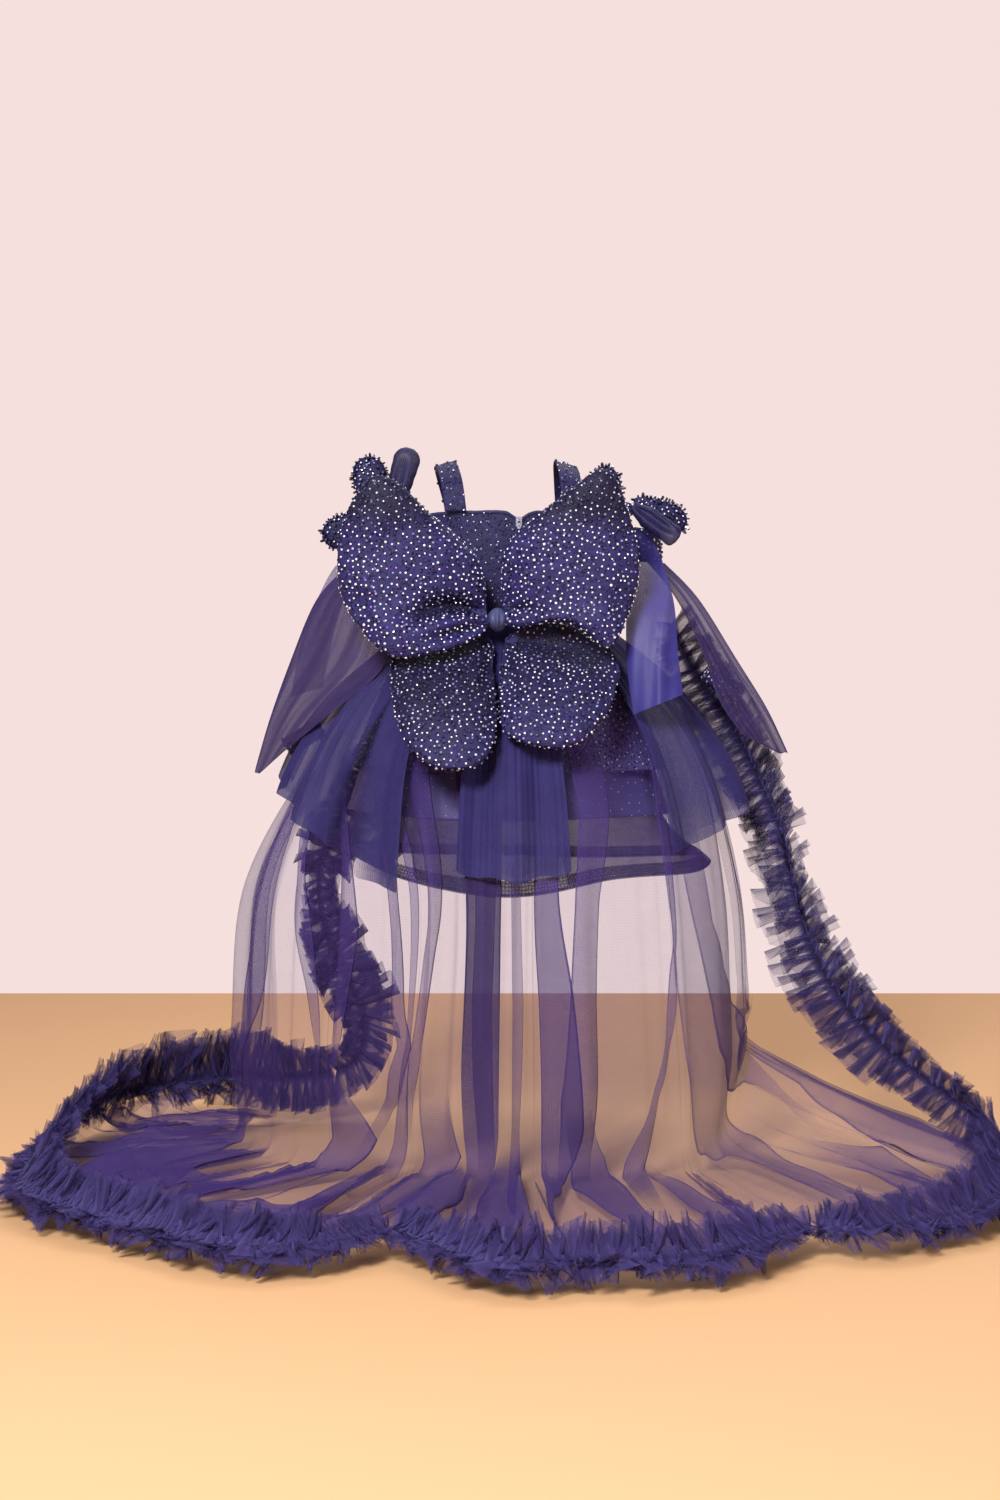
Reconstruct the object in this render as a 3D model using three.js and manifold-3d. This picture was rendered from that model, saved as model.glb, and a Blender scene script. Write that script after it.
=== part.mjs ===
// A toddler's party dress in navy: a beaded bodice with narrow straps and off-shoulder bands, a padded butterfly
// bow, a short layered skirt, and a long train of tulle edged with a gathered frill. It keeps the hollow form of
// a general small child who stands in it. Millimetres, +Z up, +X to the wearer's right, -Y towards the wearer's
// back. Heights are given from the floor that the train lies on, and the whole dress is then lowered so that the
// origin is between the tops of the two shoulder straps, where the wearer's shoulders hold it.
import * as THREE from "three";
import { mergeVertices } from "three/addons/utils/BufferGeometryUtils.js";
import Module from "manifold-3d";

const SHOULDER_HEIGHT = 665; // the origin's height above the floor
const BODY_X = 8; // the torso stands a little to the right of the bow's knot
const CLOTH = 1.6; // wall of the beaded cloth and the satin
const TULLE = 1.1; // wall of tulle and organza
const WAIST = 506;

const COLOURS = {
  beaded: new THREE.Color(0.05, 0.06, 0.16),
  satin: new THREE.Color(0.06, 0.08, 0.17),
  organza: new THREE.Color(0.1, 0.11, 0.34),
  tulle: new THREE.Color(0.12, 0.11, 0.33),
  zip_metal: new THREE.Color(0.55, 0.55, 0.6),
};

const rad = THREE.MathUtils.degToRad;
const mix = THREE.MathUtils.lerp;
const clamp = THREE.MathUtils.clamp;
const ease = (from, to, at) => THREE.MathUtils.smoothstep(at, from, to);
const bump = (at, centre, width) => Math.exp(-(((at - centre) / width) ** 2));

// Rows of numbers with named columns.
function table(names, rows) {
  const columns = names.split(" ");
  return rows.map((row) => Object.fromEntries(columns.map((name, i) => [name, row[i]])));
}

// A smooth value of one column, where at counts rows from 0.
function smooth(rows, column, at) {
  const i = clamp(Math.floor(at), 0, rows.length - 2);
  const t = at - i;
  const [a, b, c, d] = [-1, 0, 1, 2].map((k) => rows[clamp(i + k, 0, rows.length - 1)][column]);
  return b + 0.5 * t * (c - a + t * (2 * a - 5 * b + 4 * c - d + t * (3 * (b - c) + d - a)));
}

// The point of three smooth columns.
const smoothPoint = (rows, names, at) => new THREE.Vector3(...names.map((name) => smooth(rows, name, at)));

const dress = new THREE.Group();
dress.position.z = -SHOULDER_HEIGHT;

function add(name, geometry, finish) {
  const metalness = finish === "zip_metal" ? 0.9 : 0;
  const roughness = { satin: 0.45, zip_metal: 0.35 }[finish] ?? 0.8;
  const mesh = new THREE.Mesh(
    geometry,
    new THREE.MeshStandardMaterial({ color: COLOURS[finish], roughness, metalness }),
  );
  mesh.name = name;
  dress.add(mesh);
}

function solid(points, faces) {
  const signed = faces.reduce((sum, [a, b, c]) => sum + points[a].dot(points[b].clone().cross(points[c])), 0);
  const index = faces.flatMap(([a, b, c]) => (signed > 0 ? [a, b, c] : [a, c, b]));
  const geometry = new THREE.BufferGeometry().setFromPoints(points);
  geometry.setIndex(index);
  geometry.computeVertexNormals();
  return geometry;
}

// A wall of cloth: the sheet pointAt(u, v), thickened evenly to both sides, with its edges closed.
function wall(pointAt, across, down, thickness, closed = false) {
  const columns = closed ? across : across + 1;
  const sheet = [];
  for (let i = 0; i < columns; i++) {
    for (let j = 0; j <= down; j++) sheet.push(pointAt(i / across, j / down));
  }
  const at = (i, j) => (i % columns) * (down + 1) + j;
  const last = closed ? columns : columns - 1;
  const sides = [];
  for (let i = 0; i < last; i++) {
    for (let j = 0; j < down; j++) {
      const [a, b, c, d] = [at(i, j), at(i + 1, j), at(i + 1, j + 1), at(i, j + 1)];
      sides.push([a, b, c], [a, c, d]);
    }
  }
  const offsets = sheet.map(() => new THREE.Vector3());
  for (const corners of sides) {
    const normal = new THREE.Triangle(...corners.map((n) => sheet[n])).getNormal(new THREE.Vector3());
    corners.forEach((n) => offsets[n].add(normal));
  }
  offsets.forEach((offset) => offset.setLength(thickness / 2));
  const outer = sheet.map((p, n) => p.clone().add(offsets[n]));
  const inner = sheet.map((p, n) => p.clone().sub(offsets[n]));
  const back = sheet.length;
  const faces = sides.flatMap(([a, b, c]) => [[a, b, c], [back + a, back + c, back + b]]);
  const edge = (a, b) => faces.push([a, back + b, b], [a, back + a, back + b]);
  for (let i = 0; i < last; i++) {
    edge(at(i, 0), at(i + 1, 0));
    edge(at(i + 1, down), at(i, down));
  }
  for (let j = 0; j < down && !closed; j++) {
    edge(at(0, j + 1), at(0, j));
    edge(at(last, j), at(last, j + 1));
  }
  return solid([...outer, ...inner], faces);
}

// A padded shape: an outline round a centre, swollen to both sides of the surface that it lies on.
function padded(outlineAt, centre, placeAt, swell, count, rings) {
  const points = [];
  const faces = [];
  const side = (front) => {
    const sign = front ? -1 : 1;
    const first = points.length;
    points.push(placeAt(centre, sign * swell));
    for (let k = 1; k < rings; k++) {
      const share = k / rings;
      for (let i = 0; i < count; i++) {
        const thick = sign * swell * Math.sqrt(1 - share ** 2.6);
        points.push(placeAt(centre.clone().lerp(outlineAt(i / count), share), thick));
      }
    }
    return first;
  };
  const front = side(true);
  const back = side(false);
  const rim = points.length;
  for (let i = 0; i < count; i++) points.push(placeAt(outlineAt(i / count), 0));
  for (const [first, flip] of [[front, false], [back, true]]) {
    const at = (k, i) => (k === rings ? rim : first + 1 + (k - 1) * count) + (i % count);
    const face = (a, b, c) => faces.push(flip ? [a, c, b] : [a, b, c]);
    for (let i = 0; i < count; i++) {
      face(first, at(1, i), at(1, i + 1));
      for (let k = 1; k < rings; k++) {
        face(at(k, i), at(k + 1, i), at(k + 1, i + 1));
        face(at(k, i), at(k + 1, i + 1), at(k, i + 1));
      }
    }
  }
  return solid(points, faces);
}

// A closed smooth outline through a few points of a plane.
function outline(rows, first, second) {
  const knots = rows.map((row) => new THREE.Vector3(row[first], row[second], 0));
  const curve = new THREE.CatmullRomCurve3(knots, true);
  return (t) => {
    const p = curve.getPoint(t);
    return new THREE.Vector2(p.x, p.y);
  };
}

// A point on a ring round the body. Angle 0 is the centre back, and positive angles turn to the wearer's right.
function ring(angle, halfWidth, halfDepth, height) {
  const turn = rad(angle);
  return new THREE.Vector3(BODY_X + halfWidth * Math.sin(turn), -halfDepth * Math.cos(turn), height);
}

// ---- Bodice: a front and two backs, which meet at the side seams and at the centre back opening.

const BODICE = table("height half_width half_depth", [
  [WAIST, 88, 66],
  [545, 92, 68],
  [580, 97, 69],
  [612, 100, 66],
]);
const BACK_OPENING = 6;

function necklineHeight(angle) {
  const side = bump(Math.abs(angle), 92, 26);
  const notch = bump(angle, BACK_OPENING, 5);
  const sweetheart = bump(Math.abs(angle), 180, 14);
  return 612 - 16 * side - 7.5 * notch - 9 * sweetheart;
}

function bodicePanel(from, to) {
  return (u, v) => {
    const angle = mix(from, to, u);
    const at = (1 - v) * (BODICE.length - 1);
    const height = smooth(BODICE, "height", at);
    const cut = WAIST + ((height - WAIST) * (necklineHeight(angle) - WAIST)) / (612 - WAIST);
    return ring(angle, smooth(BODICE, "half_width", at), smooth(BODICE, "half_depth", at), cut);
  };
}

const SEAM_TURN = 0.3; // half of a seam's gap, in degrees round the body
add("bodice_back_left", wall(bodicePanel(-90 + SEAM_TURN, BACK_OPENING - SEAM_TURN), 9, 3, CLOTH), "beaded");
add("bodice_back_right", wall(bodicePanel(BACK_OPENING + SEAM_TURN, 90 - SEAM_TURN), 9, 3, CLOTH), "beaded");
add("bodice_front", wall(bodicePanel(90 + SEAM_TURN, 270 - SEAM_TURN), 15, 3, CLOTH), "beaded");

// ---- Zip: only the slider at the top of the concealed zip shows. Its bridge is a small arch, and the crossbar of
// the pull tab lies under the arch, so that the tab hangs down the back and swings out and up.

const SLIDER = { width: 6, thick: 2.2, length: 9 };
const BRIDGE = { inner: 1, outer: 1.75, width: 1.6, standOff: 1.1 };
const TAB = {
  bar: 0.55, eyeEnd: 2.1, eyeHalf: 1.15, halfWidth: 1.9, ring: 2.2, ringHole: 1.1, length: 5.6, thick: 1,
};
const TAB_PIVOT = new THREE.Vector3(18.3, -72.2, 603);

const wasm = await Module();
wasm.setup();

function manifold(geometry) {
  const bare = geometry.clone();
  bare.deleteAttribute("normal");
  bare.deleteAttribute("uv");
  const merged = mergeVertices(bare);
  const vertProperties = merged.attributes.position.array;
  const triVerts = new Uint32Array(merged.index.array);
  return new wasm.Manifold(new wasm.Mesh({ numProp: 3, vertProperties, triVerts }));
}

function joined(geometries) {
  const mesh = geometries.map(manifold).reduce((sum, next) => sum.add(next)).getMesh();
  const geometry = new THREE.BufferGeometry();
  geometry.setAttribute("position", new THREE.BufferAttribute(mesh.vertProperties, 3));
  geometry.setIndex(new THREE.BufferAttribute(mesh.triVerts, 1));
  geometry.computeVertexNormals();
  return geometry;
}

// Around the origin, which is the middle of the tab's crossbar.
function zipSlider() {
  const body = new THREE.BoxGeometry(SLIDER.width, SLIDER.thick, SLIDER.length);
  body.translate(0, BRIDGE.standOff + SLIDER.thick / 2, -0.5);
  const root = BRIDGE.standOff + SLIDER.thick / 4;
  const arch = new THREE.Shape();
  arch.moveTo(root, -BRIDGE.outer);
  arch.absarc(0, 0, BRIDGE.outer, -Math.PI / 2, Math.PI / 2, true);
  arch.lineTo(root, BRIDGE.outer);
  arch.lineTo(root, BRIDGE.inner);
  arch.absarc(0, 0, BRIDGE.inner, Math.PI / 2, -Math.PI / 2, false);
  arch.lineTo(root, -BRIDGE.inner);
  arch.closePath();
  const bridge = new THREE.ExtrudeGeometry(arch, { depth: BRIDGE.width, bevelEnabled: false, curveSegments: 8 });
  bridge.rotateX(Math.PI / 2).rotateZ(Math.PI / 2).translate(-BRIDGE.width / 2, 0, 0);
  return joined([body, bridge]);
}

function pullTab() {
  const shape = new THREE.Shape();
  shape.moveTo(TAB.halfWidth, TAB.bar);
  shape.lineTo(-TAB.halfWidth, TAB.bar);
  shape.absarc(0, -TAB.length, TAB.ring, Math.PI, 2 * Math.PI, false);
  shape.closePath();
  const eye = new THREE.Path();
  eye.moveTo(-TAB.eyeHalf, -TAB.bar);
  eye.lineTo(TAB.eyeHalf, -TAB.bar);
  eye.lineTo(TAB.eyeHalf, -TAB.eyeEnd);
  eye.lineTo(-TAB.eyeHalf, -TAB.eyeEnd);
  eye.closePath();
  const ringHole = new THREE.Path().absarc(0, -TAB.length, TAB.ringHole, 0, 2 * Math.PI, true);
  shape.holes.push(eye, ringHole);
  const tab = new THREE.ExtrudeGeometry(shape, { depth: TAB.thick, bevelEnabled: false, curveSegments: 8 });
  return tab.rotateX(Math.PI / 2).translate(0, TAB.thick / 2, 0);
}

add("zip_slider", zipSlider().translate(...TAB_PIVOT), "zip_metal");
add("zip_pull_tab", pullTab().translate(...TAB_PIVOT), "zip_metal");

// ---- Shoulder straps: narrow bands from the back neckline over the shoulder to the front.

const STRAP_HALF_WIDTH = 13;
const STRAPS = {
  left: table("x y height", [
    [-43, -64.5, 613.5], [-47, -58, 642], [-53, -30, 661], [-55, 0, 664.5], [-53, 34, 655], [-47, 59, 632],
    [-43, 63.5, 613.5]]),
  right: table("x y height", [
    [69, -58, 613.5], [67, -53, 642], [64, -28, 661], [63, 0, 664.5], [64, 32, 655], [66, 54, 632],
    [68, 58.5, 613.5]]),
};

for (const [side, rows] of Object.entries(STRAPS)) {
  const strapAt = (u, v) => {
    const point = smoothPoint(rows, ["x", "y", "height"], v * (rows.length - 1));
    const across = (u - 0.5) * 2 * STRAP_HALF_WIDTH;
    const slope = side === "left" ? -0.28 : 0.28; // the bands follow the slope of the shoulders
    const turn = side === "left" ? -0.1 : 0.1; // their ends lie flat on the bodice's curve
    const lean = turn * across * Math.cos(Math.PI * v);
    return point.add(new THREE.Vector3(across, lean, -slope * across * Math.sin(Math.PI * v)));
  };
  add(`strap_${side}`, wall(strapAt, 1, 10, CLOTH), "beaded");
}

// ---- Off-shoulder bands: each runs from the side back round the upper arm to the side front.

const BAND = { reach: 63, start: 88, halfDepth: 36, height: 30, centre: 589 };

for (const [side, sign] of [["left", -1], ["right", 1]]) {
  const bandAt = (u, v) => {
    const turn = Math.PI * (u - 0.5);
    const out = BAND.start + BAND.reach * Math.cos(turn);
    const slump = 6 * Math.cos(turn);
    const height = BAND.centre + BAND.height * (0.5 - v) - slump;
    return new THREE.Vector3(BODY_X + sign * (out + 2 * v), BAND.halfDepth * Math.sin(turn), height);
  };
  add(`arm_band_${side}`, wall(bandAt, 12, 2, CLOTH), "beaded");
}

// ---- Skirt: from the inside out, an organza petticoat, a satin skirt and a short beaded skirt. Each is a back
// and a front, sewn at the side seams. The petticoat's hem is held out by a band of horsehair braid.

const SKIRTS = {
  petticoat: {
    finish: "organza", thickness: TULLE, ripple: 5, lift: 1, columns: 18, levels: 5,
    rows: table("height half_width half_depth", [
      [WAIST - 3, 82, 60], [450, 108, 84], [380, 134, 110], [318, 154, 128], [286, 178, 147], [262, 200, 162]]),
  },
  satin_skirt: {
    finish: "satin", thickness: CLOTH, ripple: 2, lift: 0.12, columns: 12, levels: 4,
    rows: table("height half_width half_depth", [
      [WAIST - 2.5, 85.5, 63.5], [450, 113, 89], [390, 137, 112], [345, 152, 125], [318, 161, 133]]),
  },
  beaded_skirt: {
    finish: "beaded", thickness: CLOTH, ripple: 2, lift: 0.12, columns: 12, levels: 4,
    rows: table("height half_width half_depth", [
      [WAIST - 2, 90, 68], [450, 120, 96], [400, 142, 116], [362, 156, 128]]),
  },
};
const HEM_WAVE = 6; // deep waves round the petticoat's hem
const HEM_STEP = 30; // degrees from one of the heights below to the next, from the centre front round and back
const HEM_RISE = table("rise", [[0], [4], [14], [26], [36], [0], [-14], [0], [2], [12], [6], [0], [0]]);

// How the lowest part of a skirt waves in and out as it runs round, and how far its hem rises.
const hemWave = (angle) => Math.cos(rad(HEM_WAVE * angle) - 0.6);
const hemRise = (angle) => smooth(HEM_RISE, "rise", (((angle + 180) % 360) + 360) % 360 / HEM_STEP);

function skirtPoint({ rows, ripple, lift }, angle, v) {
  const at = v * (rows.length - 1);
  const swing = ripple * ease(0.45, 1, v) * hemWave(angle);
  return ring(
    angle,
    smooth(rows, "half_width", at) + swing,
    smooth(rows, "half_depth", at) + swing,
    smooth(rows, "height", at) + lift * ease(0.6, 1, v) * hemRise(angle),
  );
}

for (const [name, skirt] of Object.entries(SKIRTS)) {
  const panel = (from, to) => (u, v) => skirtPoint(skirt, mix(from, to, u), v);
  const cut = (from, to) => wall(panel(from, to), skirt.columns, skirt.levels, skirt.thickness);
  add(`${name}_back`, cut(-90 + SEAM_TURN, 90 - SEAM_TURN), skirt.finish);
  add(`${name}_front`, cut(90 + SEAM_TURN, 270 - SEAM_TURN), skirt.finish);
}

// The braid lies on the outside of the petticoat's hem.
const BRAID_START = 0.93;
const BRAID_STAND_OFF = 2;

function braidPanel(from, to) {
  return (u, v) => {
    const angle = mix(from, to, u);
    const point = skirtPoint(SKIRTS.petticoat, angle, mix(BRAID_START, 0.995, v));
    const out = ring(angle, 1, 1, 0).sub(ring(0, 0, 0, 0)).setLength(BRAID_STAND_OFF);
    return point.add(out).setZ(point.z + BRAID_STAND_OFF / 2);
  };
}

add("horsehair_braid_back", wall(braidPanel(-90 + SEAM_TURN, 90 - SEAM_TURN), 18, 1, TULLE), "organza");
add("horsehair_braid_front", wall(braidPanel(90 + SEAM_TURN, 270 - SEAM_TURN), 18, 1, TULLE), "organza");

// ---- Frill: one long strip of doubled tulle, gathered along its middle and sewn round the edge of the train. It
// falls from the left of the waist, runs round the train on the floor, and rises to the right arm. Rows give the
// gathered line, the strip's lean from level (down on the outside) and its half width.

const FRILL = table("x y height lean half", [
  [-50, 86, 494, 50, 14], [-84, 102, 448, 50, 26], [-120, 110, 392, 50, 32], [-158, 100, 328, 55, 36],
  [-186, 86, 262, 60, 38], [-184, 80, 204, 65, 38], [-160, 78, 146, 65, 38], [-140, 74, 96, 60, 34],
  [-152, 70, 56, 75, 27], [-200, 68, 42, 80, 34], [-270, 62, 42, 80, 39], [-334, 38, 40, 75, 38],
  [-380, -6, 38, 65, 36], [-404, -74, 36, 55, 36], [-412, -155, 34, 50, 36], [-414, -240, 28, 42, 34],
  [-404, -322, 22, 32, 31], [-357, -386, 20, 28, 30], [-294, -436, 20, 28, 30], [-235, -490, 20, 28, 30],
  [-172, -518, 20, 28, 30], [-116, -498, 20, 28, 22], [-85, -460, 20, 28, 3.5], [-52, -506, 20, 28, 22],
  [0, -562, 20, 28, 30], [58, -553, 20, 28, 30], [118, -553, 20, 28, 30], [178, -527, 20, 28, 30],
  [214, -484, 20, 28, 24], [244, -453, 20, 28, 9], [284, -466, 20, 28, 25], [338, -437, 20, 28, 30],
  [390, -394, 20, 28, 30], [431, -326, 24, 34, 32], [450, -250, 30, 45, 34], [450, -190, 40, 60, 36],
  [430, -152, 54, 70, 36], [398, -136, 76, 80, 36], [357, -112, 108, 86, 37], [327, -86, 144, 90, 38],
  [304, -62, 188, 90, 38], [290, -34, 244, 90, 38], [280, -4, 302, 90, 38], [262, 28, 352, 90, 37],
  [240, 54, 400, 90, 36], [213, 68, 441, 90, 34], [190, 68, 478, 90, 30], [176, 58, 508, 90, 22],
]);
const FRILL_FOOT = 8.5; // above this row the strip is steep, so its lean is measured from the wearer's front
const UP = new THREE.Vector3(0, 0, 1);
const FORWARD = new THREE.Vector3(0, 1, 0);
const FRILL_PLEAT = 33; // length of strip from one fold of the ripple to the next
const FRILL_RIPPLE = 0.3; // how far each edge waves, as a share of the half width

// Where the frill's gathered line is, which way it runs, and which way its outer half points.
function frillFrame(at) {
  const middle = smoothPoint(FRILL, ["x", "y", "height"], at);
  const before = smoothPoint(FRILL, ["x", "y", "height"], Math.max(at - 0.05, 0));
  const after = smoothPoint(FRILL, ["x", "y", "height"], Math.min(at + 0.05, FRILL.length - 1));
  const run = after.sub(before).normalize();
  const hangs = at < FRILL_FOOT;
  const level = run.clone().cross(hangs ? FORWARD : UP).normalize();
  const down = run.clone().cross(level);
  const lean = rad(smooth(FRILL, "lean", at) - (hangs ? 90 : 0));
  const out = level.multiplyScalar(Math.cos(lean)).addScaledVector(down, Math.sin(lean));
  return { middle, out, face: run.clone().cross(out).normalize(), half: smooth(FRILL, "half", at) };
}

// Row numbers at even lengths along the frill between two rows.
function evenSteps(from, to, step) {
  const fine = Math.round(40 * (to - from));
  const rowAt = (i) => mix(from, to, i / fine);
  const lengths = [0];
  let last = smoothPoint(FRILL, ["x", "y", "height"], from);
  for (let i = 1; i <= fine; i++) {
    const next = smoothPoint(FRILL, ["x", "y", "height"], rowAt(i));
    lengths.push(lengths[i - 1] + next.distanceTo(last));
    last = next;
  }
  const count = 2 * Math.round(lengths[fine] / step / 2);
  return Array.from({ length: count + 1 }, (_, k) => {
    const target = (k / count) * lengths[fine];
    const i = clamp(lengths.findIndex((length) => length >= target - 1e-6), 1, fine);
    return rowAt(i - 1 + (target - lengths[i - 1]) / (lengths[i] - lengths[i - 1]));
  });
}

const FRILL_GAP = 0.03; // half of the gap between two lengths of frill, in rows
const FRILL_PIECES = table("name from to", [
  ["left_fall", 0, FRILL_FOOT], ["left_floor", FRILL_FOOT, 14.5], ["back_left", 14.5, 22], ["back_right", 22, 29],
  ["right_floor", 29, 34.5], ["right_rise", 34.5, FRILL.length - 1],
]);

for (const { name, from, to } of FRILL_PIECES) {
  const steps = evenSteps(from + FRILL_GAP, to - FRILL_GAP, FRILL_PLEAT);
  const frillAt = (u, v) => {
    const k = Math.round(u * (steps.length - 1));
    const { middle, out, face, half } = frillFrame(steps[k]);
    const across = 2 * v - 1;
    const wave = (k % 2 ? 1 : -1) * FRILL_RIPPLE * half * across;
    return middle.addScaledVector(out, across * half).addScaledVector(face, wave);
  };
  add(`frill_${name}`, wall(frillAt, steps.length - 1, 2, TULLE), "tulle");
}

// ---- Train: lengths of tulle gathered into the waist under the bow. Each falls over the skirt, hangs in folds to
// the floor and runs out to the frill. Rows are ribs from the front left round the back to the right: where the
// rib hangs at knee height, where it meets the floor, and the row of the frill at which it ends.

const RIBS = table("angle hang_x hang_y foot_x foot_y foot_height frill", [
  [-118, -222, 46, -222, 30, 6, 10.6], [-104, -238, 8, -252, -4, 4, 12], [-88, -236, -56, -258, -62, 4, 13.6],
  [-74, -218, -108, -236, -122, 4, 15.4], [-62, -186, -146, -196, -172, 4, 17],
  [-54, -148, -168, -160, -196, 4, 17.6], [-40, -102, -182, -112, -210, 4, 19.3],
  [-34, -74, -186, -86, -222, 4, 19.8], [-20, -42, -190, -52, -232, 4, 21.4], [-5, -6, -191, -10, -240, 4, 23.4],
  [7, 26, -191, 26, -244, 4, 24.8],
  [10, 36, -191, 40, -244, 4, 25.2], [27, 92, -187, 102, -238, 4, 26.6], [42, 146, -170, 160, -216, 4, 28],
  [48, 164, -158, 180, -202, 4, 28.9], [70, 206, -104, 216, -132, 12, 31.6], [90, 226, -56, 236, -86, 60, 33],
  [102, 226, -24, 240, -54, 96, 34.3],
]);
const TRAIN_PANELS = table("name first last", [
  ["far_left", 0, 4], ["left", 5, 6], ["centre_left", 7, 10], ["centre_right", 11, 13], ["right", 14, 17],
]);
const TRAIN_PLEATS = table("rib width depth", [
  [0.8, 0.28, 9], [1.9, 0.22, 10], [2.8, 0.25, 12], [3.6, 0.2, 9], [5.4, 0.22, 8], [7.5, 0.2, 9], [8.3, 0.22, 12],
  [9.4, 0.24, 12], [11.5, 0.22, 9], [12.4, 0.22, 10], [14.6, 0.25, 9], [15.7, 0.3, 8], [16.5, 0.3, 7],
]);
const WAIST_RING = [95, 73, WAIST - 4];
const THIGH_RING = [150, 110, 442];
const HIP_RING = [194, 140, 372];
const FRILL_CLEARANCE = 10;

function trainPoint(rib, v) {
  const angle = smooth(RIBS, "angle", rib);
  const foot = smoothPoint(RIBS, ["foot_x", "foot_y", "foot_height"], rib);
  const hang = new THREE.Vector3(smooth(RIBS, "hang_x", rib), smooth(RIBS, "hang_y", rib), 250);
  const { middle, out } = frillFrame(smooth(RIBS, "frill", rib));
  const level = new THREE.Vector3(out.x, out.y, 0).setLength(1);
  const hem = middle.addScaledVector(level, -FRILL_CLEARANCE);
  hem.z -= FRILL_CLEARANCE;
  const floor = foot.clone().lerp(hem, 0.55).setZ(Math.max(foot.z * 0.5, 4));
  const nearHem = foot.clone().lerp(hem, 0.88).setZ(Math.max(foot.z * 0.3, 8));
  const stations = [
    ring(angle, ...WAIST_RING),
    ring(angle, ...THIGH_RING),
    ring(angle, ...HIP_RING),
    hang,
    hang.clone().lerp(foot, 0.55).setZ(mix(250, foot.z, 0.6)),
    foot,
    floor,
    nearHem,
    hem,
  ];
  const point = smoothPoint(stations, ["x", "y", "z"], v * (stations.length - 1));
  const fold = TRAIN_PLEATS.reduce((sum, pleat) => sum + pleat.depth * bump(rib, pleat.rib, pleat.width), 0);
  const hanging = ease(0.22, 0.42, v) * (1 - ease(0.52, 0.64, v));
  const lying = 0.5 * ease(0.56, 0.68, v) * (1 - ease(0.85, 1, v));
  const away = ring(angle, 1, 1, 0).sub(ring(0, 0, 0, 0));
  point.addScaledVector(away, hanging * fold);
  point.z = Math.max(point.z, 2) + lying * fold;
  return point;
}

for (const { name, first, last } of TRAIN_PANELS) {
  const across = Math.max(4, 3 * (last - first));
  add(`train_${name}`, wall((u, v) => trainPoint(mix(first, last, u), v), across, 8, TULLE), "tulle");
}

// ---- Overskirt: three short puffs of gathered tulle over the head of the train.

const OVERSKIRT = table("height half_width half_depth", [
  [WAIST - 3, 99, 77], [470, 140, 99], [440, 170, 122], [400, 201, 148], [362, 222, 166], [322, 236, 186],
  [280, 246, 204],
]);
const PUFFS = table("name from to fall_from fall_to folds depth", [
  ["left", -88, -27, 0.76, 1, 4, 5], ["centre", -11, 13, 1, 1, 2, 4], ["right", 38, 96, 0.96, 0.78, 3, 5],
]);

for (const { name, from, to, fall_from, fall_to, folds, depth } of PUFFS) {
  const puffAt = (u, v) => {
    const angle = mix(from, to, u);
    const at = v * mix(fall_from, fall_to, u) * (OVERSKIRT.length - 1);
    const fold = depth * ease(0.1, 0.6, v) * Math.cos(2 * Math.PI * folds * u);
    const hem = 12 * ease(0.7, 1, v) * Math.sin(5 * Math.PI * u);
    return ring(
      angle,
      smooth(OVERSKIRT, "half_width", at) + fold,
      smooth(OVERSKIRT, "half_depth", at) + fold,
      smooth(OVERSKIRT, "height", at) + hem,
    );
  };
  add(`overskirt_${name}`, wall(puffAt, 4 * folds, 5, TULLE), "tulle");
}

// ---- Back bow: four padded wings pinched into a knot at the centre of the waist.

const KNOT = new THREE.Vector3(-1, -108, 504);
const WINGS = {
  upper_left: { swell: 19, middle: [-88, 556], rows: table("x height", [
    [-14, 519], [-22, 562], [-58, 599], [-112, 635], [-146, 592], [-148, 524], [-106, 477], [-52, 478],
    [-15, 495]]) },
  upper_right: { swell: 19, middle: [80, 562], rows: table("x height", [
    [12, 495], [60, 500], [108, 487], [134, 532], [132, 584], [101, 640], [54, 613], [16, 578], [12, 520]]) },
  lower_left: { swell: 17, middle: [-54, 428], rows: table("x height", [
    [-14, 489], [-60, 488], [-101, 470], [-99, 420], [-68, 375], [-20, 373], [-3.5, 410], [-8, 470]]) },
  lower_right: { swell: 17, middle: [56, 436], rows: table("x height", [
    [13, 489], [6, 470], [1.5, 410], [22, 389], [70, 388], [107, 424], [108, 468], [60, 489]]) },
};
const WING_POINTS = 16;
const WING_RINGS = 4;

// How far behind the body each wing's middle surface lies. The upper wings pass over the lower ones.
function wingDepth(upper, x, height) {
  const reach = Math.hypot(x - KNOT.x, height - KNOT.z);
  const spread = 1 - Math.exp(-reach / 45);
  return upper ? 108 + 26 * spread + 0.5 * Math.max(0, 520 - height) : 104 + 0.78 * Math.max(0, 489 - height);
}

for (const [name, { swell, middle, rows }] of Object.entries(WINGS)) {
  const upper = name.startsWith("upper");
  const placeAt = (p, thick) => new THREE.Vector3(p.x, -wingDepth(upper, p.x, p.y) + thick, p.y);
  const edge = outline(rows, "x", "height");
  const wing = padded(edge, new THREE.Vector2(...middle), placeAt, swell, WING_POINTS, WING_RINGS);
  add(`bow_wing_${name}`, wing, "beaded");
}

// A rounded lump: a sphere drawn out to three half sizes.
function lump(centre, halves, across = 10, down = 6) {
  return new THREE.SphereGeometry(1, across, down).scale(...halves).translate(centre.x, centre.y, centre.z);
}

add("bow_knot", lump(KNOT, [11.5, 22, 14.5], 12, 6), "satin");

// ---- Shoulder bows: on each arm band sit two beaded wings, a loop of organza, a knot and a hanging tail.

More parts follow.
